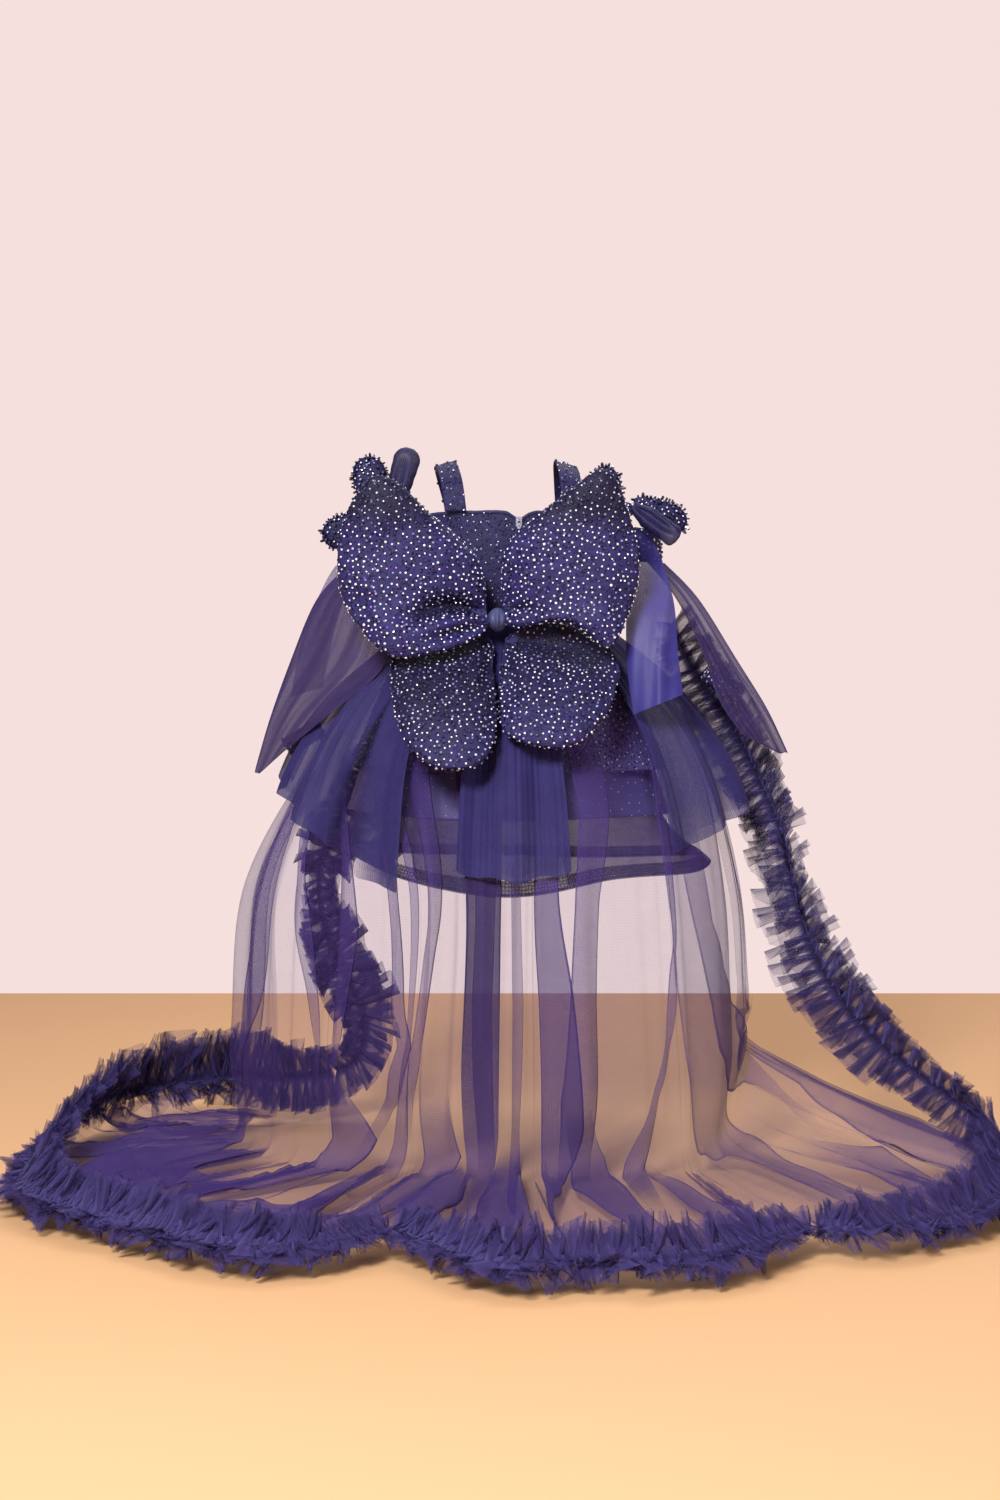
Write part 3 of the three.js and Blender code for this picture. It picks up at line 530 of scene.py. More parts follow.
binding = cloth("neck_binding", [
    grid(lambda u, v: roll(u, v, BACK_OPENING + ZIP_GAP, 180), 120, 10),
    grid(lambda u, v: roll(u, v, 180, 360 + BACK_OPENING - ZIP_GAP), 120, 10),
], BINDING_SATIN)

# ---- Shoulder straps: narrow beaded bands from the back neckline over the shoulder to the front, sewn in
# at both ends.

STRAP_HALF_WIDTH = 10.5
STRAP_CROWN = 0.0048  # how far the strap's edges drop, for each square of the distance across it
STRAPS = {
    "left": table("x y height", [
        [-43, -64.5, 613.5], [-47, -58, 642], [-53, -30, 661], [-55, 0, 664.5], [-53, 34, 655],
        [-47, 59, 632], [-43, 63.5, 613.5]]),
    "right": table("x y height", [
        [71, -58, 613.5], [69, -53, 642], [66, -28, 661], [64, 0, 664.5], [65, 32, 655], [67, 54, 632],
        [69, 58.5, 613.5]]),
}
for side, rows in STRAPS.items():
    sign = -1 if side == "left" else 1

    def strap(u, v):
        place = smooth_point(rows, "x y height", v * 6)
        across = (u - 0.5) * 2 * STRAP_HALF_WIDTH
        lean = sign * 0.1 * across * np.cos(np.pi * v)
        drop = sign * 0.28 * across * np.sin(np.pi * v) + STRAP_CROWN * across**2
        return place + np.stack([across, lean, -drop], -1)

    piece = cloth(f"strap_{side}_cloth", [grid(strap, 12, 70)], BEADED, thick=CLOTH_THICK)
    # Painted shade: the strap's cloth is darkened evenly and its stones dimmed.
    set_shade(piece, 0.45)
    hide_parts(f"strap_{side}")
    outside = faces_out([BODY_X / 1000, 0, -0.06], 0.005, sides=3)
    sewn = stones(f"strap_{side}_stones", piece, 7.5, 31 + sign, size=0.85, dim=0.45, keep=outside)

# ---- Off-shoulder bands: a beaded band from the side seam round each upper arm, a little slack. It is
# folded lengthwise and both ends are sewn into the side seam.

BAND = dict(reach=63.0, start=88.0, half_depth=36.0, height=30.0, centre=589.0)
for side, sign in (("left", -1), ("right", 1)):
    def band(u, v):
        turn = np.pi * (u - 0.5)
        out = BAND["start"] + BAND["reach"] * np.cos(turn) + 1.2 * waves(u * 3, 8 + sign, 0.5, 3)
        height = BAND["centre"] + BAND["height"] * (0.5 - v) - 6 * np.cos(turn)
        return np.stack([BODY_X + sign * (out + 2 * v), BAND["half_depth"] * np.sin(turn), height], -1)

    piece = cloth(f"arm_band_{side}_cloth", [grid(band, 60, 12)], BEADED, thick=CLOTH_THICK)
    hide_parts(f"arm_band_{side}")
    outside = faces_out(np.array([BODY_X + sign * BAND["start"], 0, 0]) / 1000, 0.005)
    sewn = stones(f"arm_band_{side}_stones", piece, 5.0, 41 + sign, keep=outside)

# ---- Zip: the metal slider at the top of the concealed zip and its pull tab, both the frame's own nodes.
# Only the finish is added: plated metal, scuffed a little where fingers hold it.


def zip_finish():
    material, tree, shader = new_material("zip_metal", Metallic=1.0)
    place = add_node(tree, "ShaderNodeTexCoord").outputs["Object"]
    scuffs = add_node(tree, "ShaderNodeTexNoise", {"Vector": place, "Scale": 900.0, "Detail": 5.0})
    fine = add_node(tree, "ShaderNodeTexNoise", {"Vector": place, "Scale": 4200.0, "Detail": 2.0})
    colour = mixed(tree, scuffs.outputs["Fac"], (0.13, 0.13, 0.17), (0.34, 0.34, 0.42))
    tree.links.new(colour, shader.inputs["Base Color"])
    tree.links.new(ranged(tree, scuffs.outputs["Fac"], 0.22, 0.5), shader.inputs["Roughness"])
    raise_surface(tree, shader, fine.outputs["Fac"], 0.2, 0.0001)
    return material


ZIP_METAL = zip_finish()
for name in ("zip_slider", "zip_pull_tab"):
    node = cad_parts[name]
    node.data.materials.clear()
    node.data.materials.append(ZIP_METAL)

# ---- Skirt: from the outside in, a short beaded skirt, a satin skirt and a sheer organza petticoat, each a
# back and a front sewn at the side seams. A band of horsehair braid holds the petticoat's hem out.


NET_SOCKETS = {"Cut": None, "Layers": 1.0, "Fold": 0.0, "Slant": 0.0, "Cover": 0.25, "Mesh": 700.0}


def sheer_net():
    """Fine net: how opaque a number of layers is at a point, and how its threads vary in shade. A sharp
    fold and a slanting view both go through more of it."""
    tree, start, end = new_group("sheer_net", NET_SOCKETS, ["Alpha", "Shade"])
    cut, layers, fold, slant, cover, mesh = (start.outputs[name] for name in NET_SOCKETS)
    holes = add_node(tree, "ShaderNodeTexVoronoi", {"Vector": cut, "Scale": mesh, "Randomness": 0.35},
                     feature="DISTANCE_TO_EDGE")
    threads = ranged(tree, holes.outputs["Distance"], 1.45, 0.72, 0.02, 0.28)
    cloudy = add_node(tree, "ShaderNodeTexNoise", {"Vector": cut, "Scale": 45.0, "Detail": 3.0})
    uneven = ranged(tree, cloudy.outputs["Fac"], 0.8, 1.2)
    stopped = maths(tree, "MULTIPLY", maths(tree, "MULTIPLY", cover, threads), uneven)
    seen = maths(tree, "SUBTRACT", 1.0, maths(tree, "MINIMUM", stopped, 0.95))
    crease = ranged(tree, fold, 1.0, 3.2, 0.8, 0.97)
    steep = maths(tree, "ADD", 1.0, maths(tree, "MULTIPLY", maths(tree, "POWER", slant, 2.0), 1.6))
    depth = maths(tree, "MULTIPLY", maths(tree, "MULTIPLY", layers, crease), steep)
    clear = maths(tree, "POWER", seen, depth)
    tree.links.new(maths(tree, "SUBTRACT", 1.0, clear, clamp=True), end.inputs["Alpha"])
    tree.links.new(cloudy.outputs["Fac"], end.inputs["Shade"])
    return tree


NET = sheer_net()
SHEEN_TINT = (0.35, 0.3, 1.0, 1)
# Painted shade: where the tulle is gathered tight its colour is darkened towards this share of its dark tone.
LOST_LIGHT = 0.2  # the share of the colour that is left between many layers


def sheer_finish(name, cover, dark, light, mesh=700.0, roughness=0.75, gather_shade=0.0, sheen=0.06):
    """Sheer cloth of one net: cover is the share of the light that one layer stops. Where it is gathered
    tight its colour is darkened, as painted shade between the layers; the argument after roughness says how
    far."""
    material, tree, shader = new_material(name, Roughness=roughness, Specular_IOR_Level=0.2,
                                          Sheen_Weight=sheen, Sheen_Tint=SHEEN_TINT)
    layers = point_value(tree, "layers")
    slant = add_node(tree, "ShaderNodeLayerWeight", {"Blend": 0.5}).outputs["Facing"]
    inputs = {"Cut": cloth_place(tree), "Layers": layers, "Fold": point_value(tree, "fold"), "Slant": slant,
              "Cover": cover, "Mesh": mesh}
    net = add_node(tree, "ShaderNodeGroup", inputs, node_tree=NET)
    tree.links.new(net.outputs["Alpha"], shader.inputs["Alpha"])
    colour = mixed(tree, net.outputs["Shade"], dark, light)
    # Painted shade: where many layers are gathered, the colour is darkened towards a fifth of its dark tone.
    gathered = maths(tree, "MULTIPLY", ranged(tree, layers, 0.0, 1.0, 2.0, 4.2), gather_shade)
    deep = tuple(LOST_LIGHT * part for part in dark)
    tree.links.new(mixed(tree, gathered, colour, deep), shader.inputs["Base Color"])
    return material


PETTICOAT = sheer_finish("petticoat_organza", 0.4, (0.02, 0.016, 0.07), (0.04, 0.03, 0.12))
BRAID = sheer_finish("horsehair_braid", 0.6, (0.012, 0.01, 0.03), (0.03, 0.026, 0.07), mesh=330.0)
# Painted light: the skirt's satin and beaded cloth are lighter copies of the binding's satin and the bodice's
# beaded cloth, to light the skirt where it lies in the shade of the bow and the tulle.
SKIRT_SATIN_PAINTED_LIGHT = satin_finish("skirt_satin_painted_light", (0.06, 0.053, 0.17), (0.1, 0.088, 0.27))
SKIRT_BEADED_PAINTED_LIGHT = beaded_cloth("skirt_beaded_cloth_painted_light", (0.095, 0.085, 0.28), (0.15, 0.135, 0.42))
SKIRT_COLUMNS = "height half_width half_depth"
SKIRTS = {
    "petticoat": dict(
        ripple=5.0, lift=1.0, hem=2.2, finish=PETTICOAT, slot="organza", thick=0, rows=table(SKIRT_COLUMNS, [
            [WAIST - 3, 82, 60], [450, 108, 84], [380, 134, 110], [318, 154, 128], [286, 178, 147],
            [262, 200, 162]])),
    "satin_skirt": dict(
        ripple=2.0, lift=0.12, hem=1.0, finish=SKIRT_SATIN_PAINTED_LIGHT, slot="satin", thick=0.001,
        rows=table(SKIRT_COLUMNS, [
            [WAIST - 2.5, 85.5, 63.5], [450, 113, 89], [390, 137, 112], [345, 152, 125], [318, 161, 133]])),
    "beaded_skirt": dict(
        ripple=2.0, lift=0.12, hem=1.0, finish=SKIRT_BEADED_PAINTED_LIGHT, slot="beaded", thick=CLOTH_THICK,
        rows=table(SKIRT_COLUMNS, [
            [WAIST - 2, 90, 68], [450, 120, 96], [400, 142, 116], [362, 156, 128]])),
}
# The gap between stones and their size, in millimetres, and their seed. The satin has them near its hem.
SKIRT_STONES = {"beaded_skirt": (5.6, 0.85, 51), "satin_skirt": (8.0, 0.5, 55)}
STONES_BELOW = {"beaded_skirt": SHOULDER_HEIGHT, "satin_skirt": 366.0}
HEM_WAVE = 6  # deep waves round the petticoat's hem
HEM_STEP = 30.0  # degrees between the heights below, from the centre front round and back
HEM_RISE = np.array([0, 4, 14, 26, 36, 0, -14, 0, 2, 12, 6, 0, 0], float)


def skirt_point(name, angle, v):
    """A point of one of the skirt's layers, where v runs from the waist to the hem."""
    skirt = SKIRTS[name]
    half_width, half_depth, height = (
        smooth(skirt["rows"][column], v * (len(skirt["rows"]["height"]) - 1))
        for column in ("half_width", "half_depth", "height"))
    swing = skirt["ripple"] * ease(0.45, 1, v) * np.cos(np.radians(HEM_WAVE * angle) - 0.6)
    rise = smooth(HEM_RISE, ((angle + 180) % 360) / HEM_STEP)
    soft = 1.6 * ease(0.1, 0.7, v) * waves(angle / 90, 11, 1, 4)
    return ring(angle, half_width + swing + soft, half_depth + swing + soft,
                height + skirt["lift"] * ease(0.6, 1, v) * rise)


def cut_edge(u, v, width=0.012):
    """The two side edges of a sheet, as a share from 0 to 1."""
    return np.maximum(1 - u / width, 1 - (1 - u) / width).clip(0, 1)


# Where the petticoat is folded over itself, in degrees round the body, and the notch in each fold's hem.
PETTICOAT_FOLDS = table("start end notch deep layers", [[-46, -9, -32, 0.22, 3.4], [16, 74, 30, 0.03, 1.7]])
NOTCH_HALF = 5.0
FOLD_TOP = 0.3  # the fold's top and hem, as shares of the way down the petticoat
FOLD_HEM = 0.965
FOLD_STAND_OFF = 2.0


def petticoat_fold(k):
    fold = {name: column[k] for name, column in PETTICOAT_FOLDS.items()}

    def fold_at(u, v):
        angle = fold["start"] + (fold["end"] - fold["start"]) * u
        notch = np.maximum(1 - np.abs(angle - fold["notch"]) / NOTCH_HALF, 0)
        low = FOLD_HEM - fold["deep"] * notch + 0.012 * waves(u, 12 + k, 1, 4)
        return skirt_point("petticoat", angle, FOLD_TOP + (low - FOLD_TOP) * v) + FOLD_STAND_OFF * away(angle)

    return grid(fold_at, 60, 28, lambda u, v: fold["layers"], lambda u, v: cut_edge(u, v, 0.02))


HALVES = {"back": (-90 + SEAM_TURN, 90 - SEAM_TURN), "front": (90 + SEAM_TURN, 270 - SEAM_TURN)}
for name, skirt in SKIRTS.items():
    def set_here(place, way):
        """Stones are set on the outside, and only so high."""
        return OUTSIDE(place, way) & (place[:, 2] < (STONES_BELOW[name] - SHOULDER_HEIGHT) / 1000)

    for half, (start, end) in HALVES.items():
        made = [grid(lambda u, v: skirt_point(name, start + (end - start) * u, v), 90, 28,
                     lambda u, v: 1 + skirt["hem"] * ease(0.985, 1, v))]
        if (name, half) == ("petticoat", "back"):
            made += [petticoat_fold(0), petticoat_fold(1)]
        piece = cloth(f"{name}_{half}_cloth", made, skirt["finish"], thick=skirt["thick"])
        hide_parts(f"{name}_{half}")
        trims = []
        if name != "petticoat":
            spacing, size, seed = SKIRT_STONES[name]
            seed += int(half == "front")
            trims = [stones(f"{name}_{half}_stones", piece, spacing, seed, size=size, keep=set_here)]

BRAID_START = 0.89  # the braid's two edges, as shares of the way down the petticoat
BRAID_END = 0.995
BRAID_STAND_OFF = 2.0
for half, (start, end) in HALVES.items():
    def braid(u, v):
        angle = start + (end - start) * u
        place = skirt_point("petticoat", angle, BRAID_START + (BRAID_END - BRAID_START) * v)
        return place + BRAID_STAND_OFF * away(angle) + np.array([0, 0, BRAID_STAND_OFF / 2])

    band = grid(braid, 120, 4, lambda u, v: 1.3 + 2 * bump(v, 1, 0.1))
    piece = cloth(f"horsehair_braid_{half}_band", [band], BRAID)
    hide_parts(f"horsehair_braid_{half}")

# ---- Frill: one long strip of tulle, three or four layers thick, gathered along its middle and sewn round
# the edge of the train. It falls from the left of the waist, runs round the train on the floor, and rises
# to the right arm.

FRILL = table("x y height lean half", [
    [-50, 86, 494, 50, 14], [-84, 102, 448, 50, 26], [-120, 110, 392, 50, 32], [-158, 100, 328, 55, 36],
    [-186, 86, 262, 60, 38], [-184, 80, 204, 65, 38], [-160, 78, 146, 65, 38], [-140, 74, 96, 60, 34],
    [-152, 70, 56, 75, 27], [-200, 68, 42, 80, 34], [-270, 62, 42, 80, 39], [-334, 38, 40, 75, 38],
    [-380, -6, 38, 65, 36], [-404, -74, 36, 55, 36], [-412, -155, 34, 50, 36], [-414, -240, 28, 42, 34],
    [-404, -322, 22, 32, 31], [-357, -386, 20, 28, 30], [-294, -436, 20, 28, 30], [-235, -490, 20, 28, 30],
    [-172, -518, 20, 28, 30], [-116, -498, 20, 28, 22], [-85, -460, 20, 28, 12], [-52, -506, 20, 28, 22],
    [0, -562, 20, 28, 30], [58, -553, 20, 28, 30], [118, -553, 20, 28, 30], [178, -527, 20, 28, 30],
    [214, -484, 20, 28, 24], [244, -453, 20, 28, 14], [284, -466, 20, 28, 25], [338, -437, 20, 28, 30],
    [390, -394, 20, 28, 30], [431, -326, 24, 34, 32], [450, -250, 30, 45, 34], [450, -190, 40, 60, 36],
    [430, -152, 54, 70, 31], [398, -136, 76, 80, 23], [357, -112, 108, 86, 34], [327, -86, 144, 90, 38],
    [304, -62, 188, 90, 38], [290, -34, 244, 90, 38], [280, -4, 302, 90, 38], [262, 28, 352, 90, 37],
    [240, 54, 400, 90, 36], [213, 68, 441, 90, 34], [190, 68, 478, 90, 30], [176, 58, 508, 90, 22],
])
FRILL_END = len(FRILL["x"]) - 1.0
FRILL_FOOT = 8.5  # above this row the strip is steep, so its lean is measured from the wearer's front
FRILL_RISE = 36.0  # after this row it climbs to the arm
FRILL_TWIST = 4.6  # the fall is twisted at this row
HANGING = dict(pitch=11.5, strips=3)  # millimetres of gathered line to a pleat, and layers of cloth
LYING = dict(pitch=7.8, strips=4)
FRILL_PIECES = {
    "left_fall": (0, FRILL_FOOT), "left_floor": (FRILL_FOOT, 14.5), "back_left": (14.5, 22),
    "back_right": (22, 29), "right_floor": (29, 34.5), "right_rise": (34.5, FRILL_END),
}


def frill_frame(at):
    """The gathered line, the ways that its outer half and its face point, its half width, and its run."""
    middle = smooth_point(FRILL, "x y height", at)
    before = smooth_point(FRILL, "x y height", np.maximum(at - 0.05, 0))
    after = smooth_point(FRILL, "x y height", np.minimum(at + 0.05, FRILL_END))
    run = unit(after - before)
    hangs = np.asarray(at < FRILL_FOOT)[..., None]
    level = unit(np.cross(run, np.where(hangs, [0, 1.0, 0], [0, 0, 1.0])))
    down = np.cross(run, level)
    lean = np.radians(smooth(FRILL["lean"], at)[..., None] - np.where(hangs, 90, 0))
    out = level * np.cos(lean) + down * np.sin(lean)
    return middle, out, unit(np.cross(run, out)), smooth(FRILL["half"], at), run


TULLE = sheer_finish("navy_tulle", 0.21, (0.039, 0.019, 0.124), (0.069, 0.037, 0.208), gather_shade=0.6)
FRILL_TULLE = sheer_finish("frill_tulle", 0.3, (0.028, 0.018, 0.085), (0.052, 0.036, 0.16), gather_shade=0.75,
                           sheen=0.16)


# Across one pleat: how far along the strip each column lies at the pleat's open end, in half widths of its
# face, how far it stands off, and how near it is to a fold.
PLEAT = table("along stand fold", [[-1.0, 0.7, 1.0], [0.0, 1.3, 0.0], [1.0, 0.7, 1.0], [0.1, -1.0, 0.3]])
# The rows of points across the strip, from its inner edge over the gathered line to its outer edge.
PLEAT_ROWS = np.array([-1, -0.92, -0.72, -0.48, -0.25, -0.09, -0.02, 0.02, 0.09, 0.25, 0.48, 0.72, 0.92, 1.0])


def frill_layer(start, end, seed, lift, pitch):
    """One layer of the strip: flat pleats, gathered along the middle, that fan out to two ragged edges."""
    rng = np.random.default_rng(seed)
    fine = np.linspace(start, end, 2000)
    steps = np.linalg.norm(np.diff(smooth_point(FRILL, "x y height", fine), axis=0), axis=1)
    length = np.concatenate([[0], np.cumsum(steps)])
    pleats = int(length[-1] / pitch)
    centres = (np.arange(pleats) + 0.5 + rng.uniform(-0.35, 0.35, pleats)) * length[-1] / pleats
    columns = len(PLEAT["along"])
    at = np.interp(np.repeat(centres, columns), length, fine)
    middle, out, face, half, run = frill_frame(at)
    along, stand, fold = (np.tile(PLEAT[name], pleats)[:, None] for name in ("along", "stand", "fold"))
    lying = (ease(FRILL_FOOT + 0.2, FRILL_FOOT + 2, at) * (1 - ease(FRILL_RISE - 3, FRILL_RISE, at)))[:, None]
    falls = ease(FRILL_FOOT, FRILL_FOOT - 1, at)[:, None] if start < FRILL_FOOT else 0
    reach = np.abs(PLEAT_ROWS)[None]
    far = np.where(PLEAT_ROWS < 0, 0, 1)
    half = half * (1 - 0.55 * bump(at, FRILL_TWIST, 0.6))
    half = np.maximum(half[:, None], 21 * lying)

    def each(low, high):
        """A random number for each pleat and each half of the strip, spread over the pleat's columns."""
        return np.repeat(rng.uniform(low, high, (2, pleats)), columns, axis=1).T[:, far]

    wide = pitch * each(0.45, 0.85) * (1.4 - 0.4 * lying) * (0.16 + 0.84 * reach**0.75)
    sideways = along * (wide * (1 - 0.55 * lying * reach**1.5))
    sideways = sideways + half * each(-1, 1) * (0.2 + 0.35 * lying + 0.3 * falls) * reach
    ragged = each(0.78, 1.08) - 0.3 * np.maximum(lying, falls) * each(0, 1) + 0.05 * along * each(-1, 1)
    tilt = half * (each(-0.18, 0.18) + lift * 0.22) * reach
    curl = half * each(-0.2, 0.25) * reach**2.5
    lifted = stand * (0.4 + 1.3 * reach) + tilt + curl
    place = middle[:, None] + out[:, None] * (PLEAT_ROWS[None] * half * ragged)[..., None]
    place = place + run[:, None] * sideways[..., None] + face[:, None] * lifted[..., None]
    fluff = lying * half * (each(-0.1, 0.4) + 0.22 * lift) * reach**1.3
    place[..., 2] = np.maximum(place[..., 2] + fluff, 0.5 + 0.5 * stand)
    at_middle = 4 * bump(PLEAT_ROWS, 0, 0.15)[None]
    layers = 0.8 + 0.2 * lying + at_middle * (1 - 0.6 * lying) + lying * (0.8 - 1.1 * reach) + 0.7 * falls
    fold = fold * (0.86 + 0.14 * lying) + 0 * reach
    return place, layers + 0 * fold, fold


for seed, (name, (start, end)) in enumerate(FRILL_PIECES.items()):
    way = HANGING if name in ("left_fall", "right_rise") else LYING
    strips = [frill_layer(start, end, 60 + 4 * seed + k, k, way["pitch"]) for k in range(way["strips"])]
    piece = cloth(f"frill_{name}_strip", strips, FRILL_TULLE)
    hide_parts(f"frill_{name}")

# ---- Train: five lengths of tulle gathered into the waist under the bow. Each falls over the skirt and
# hangs in folds to the floor, where it spreads out to the frill. Where it folds over itself the layers show
# as darker bands.

# The lines down the train: where each leaves the waist, hangs, meets the floor and joins the frill.
RIBS = table("angle hang_x hang_y foot_x foot_y foot_height frill", [
    [-118, -222, 46, -222, 30, 6, 10.6], [-104, -238, 8, -252, -4, 4, 12],
    [-88, -236, -56, -258, -62, 4, 13.6], [-74, -218, -108, -236, -122, 4, 15.4],
    [-62, -186, -146, -196, -172, 4, 17], [-54, -148, -168, -160, -196, 4, 17.6],
    [-40, -102, -182, -112, -210, 4, 19.3], [-34, -74, -186, -86, -222, 4, 19.8],
    [-20, -42, -190, -52, -232, 4, 21.4], [-5, -6, -191, -10, -240, 4, 23.4],
    [7, 26, -191, 26, -244, 4, 24.8], [10, 36, -191, 40, -244, 4, 25.2],
    [27, 92, -187, 102, -238, 4, 26.6], [42, 146, -170, 160, -216, 4, 28],
    [48, 164, -158, 180, -202, 4, 28.9], [70, 206, -104, 216, -132, 12, 31.6],
    [90, 226, -56, 236, -86, 60, 33], [102, 226, -24, 240, -54, 96, 34.3],
])
TRAIN_PLEATS = table("rib width depth", [
    [0.8, 0.28, 9], [1.9, 0.22, 10], [2.8, 0.25, 12], [3.6, 0.2, 9], [5.4, 0.22, 8], [7.5, 0.2, 9],
    [8.3, 0.22, 12], [9.4, 0.24, 12], [11.5, 0.22, 9], [12.4, 0.22, 10], [14.6, 0.25, 9], [15.7, 0.3, 8],
    [16.5, 0.3, 7],
])
HANG_HEIGHT = 250.0
FRILL_CLEARANCE = 10.0
STATIONS = 9
RIDGES = table("seed way slope height", [[96, 1.1, 1.0, 5.5], [97, -0.8, 0.8, 5], [98, 1.5, -1.2, 4.5]])


def train_point(rib, v):
    """A point of the train. rib counts from the front left round the back, and v from waist to frill."""
    rib, v = np.broadcast_arrays(rib, v)
    angle = smooth(RIBS["angle"], rib)
    foot = smooth_point(RIBS, "foot_x foot_y foot_height", rib)
    hang = smooth_point(RIBS, "hang_x hang_y", rib)
    hang = np.concatenate([hang, np.full(rib.shape + (1,), HANG_HEIGHT)], -1)
    middle, out = frill_frame(smooth(RIBS["frill"], rib))[:2]
    hem = middle - FRILL_CLEARANCE * unit(out * [1, 1, 0]) - [0, 0, FRILL_CLEARANCE]
    rise = foot[..., 2]

    def between(share, height):
        place = foot * (1 - share) + hem * share
        place[..., 2] = height
        return place

    knee = hang * 0.45 + foot * 0.55
    knee[..., 2] = HANG_HEIGHT + (rise - HANG_HEIGHT) * 0.6
    stations = np.stack([
        ring(angle, 95, 73, WAIST - 4), ring(angle, 150, 110, 442), ring(angle, 194, 140, 372),
        hang, knee, foot,
        between(0.55, np.maximum(rise * 0.5, 4)), between(0.88, np.maximum(rise * 0.3, 8)), hem])
    at = v * (STATIONS - 1)
    i = np.clip(np.floor(at).astype(int), 0, STATIONS - 2)
    near = (np.clip(i + k, 0, STATIONS - 1)[None, ..., None] for k in (-1, 0, 1, 2))
    place = through(*(np.take_along_axis(stations, row, 0)[0] for row in near), (at - i)[..., None])
    fold = sum(depth * bump(rib, centre, width) for centre, width, depth in zip(*TRAIN_PLEATS.values()))
    hanging = ease(0.22, 0.42, v) * (1 - ease(0.52, 0.64, v))
    lying = 0.5 * ease(0.56, 0.68, v) * (1 - ease(0.85, 1, v))
    soft = 3.5 * waves(rib + 0.3 * v, 90, 0.4, 2.4) * ease(0.15, 0.4, v)
    place = place + away(angle) * (hanging * fold + soft * (1 - ease(0.5, 0.6, v)))[..., None]
    rough = 0.8 * waves(rib * 1.3 + 1.2 * v, 91, 0.7, 3) + 0.7 * waves(5 * v + rib, 92, 0.5, 2)
    ridges = sum(height * (1 - np.abs(waves(rib * way + slope * v, int(seed), 0.3, 1.0, 4))) ** 5
                 for seed, way, slope, height in zip(*RIDGES.values()))
    crumpled = ease(0.56, 0.66, v) * (1 - 0.6 * ease(0.9, 1, v))
    rough = np.maximum(rough + soft * 0.5, -1.2) + ridges
    place[..., 2] = np.maximum(place[..., 2], 2) + lying * fold + crumpled * rough
    return place


def train_out(rib, v):
    """The way that a fold stands off the train: out from the body where it hangs, and up where it lies."""
    share = ease(0.52, 0.62, v)[..., None]
    level = away(smooth(RIBS["angle"], rib))
    return unit(level * (1 - share) + np.array([0, 0, 1.0]) * share)


FOLD_ACROSS = 10
FOLD_DOWN = 64
TRAIN_STAND_OFF = 1.5
FOLD_PUFF = 3.0


def fold_over(layers, rows):
    """A fold of the train: two more sheets of cloth between a left and a right rib, which change as it runs
    down. Each sheet has some layers, and they fade where the fold opens out above the frill or below the
    waist."""
    rows = table("v left right", rows)
    turn = np.linspace(0, 2 * np.pi, 2 * FOLD_ACROSS + 1)[:, None]
    at = np.linspace(0, len(rows["v"]) - 1, FOLD_DOWN + 1)[None, :]
    share = 0.5 - 0.5 * np.cos(turn)
    v = smooth(rows["v"], at) + 0 * turn
    left, right = (np.interp(at, np.arange(len(rows["v"])), rows[edge]) for edge in ("left", "right"))
    wide = ease(0.0, 0.35, np.abs(right - left))
    stand_off = (TRAIN_STAND_OFF + FOLD_PUFF * wide * np.maximum(np.sin(turn), 0) + 0 * v)[..., None]
    rib = left + (right - left) * share
    place = train_point(rib, v) + train_out(rib, v) * stand_off
    first, last = rows["v"][0], rows["v"][-1]
    opens = ease(first, first + 0.07, v) if first > 0.12 else 1.0
    closes = 1 - ease(last - (0.1 if layers < 3 else 0.4), last, v) if last < 0.93 else 1.0
    return place, layers * opens * closes + 0 * v, np.abs(2 * share - 1) ** 2 * opens * closes + 0 * v


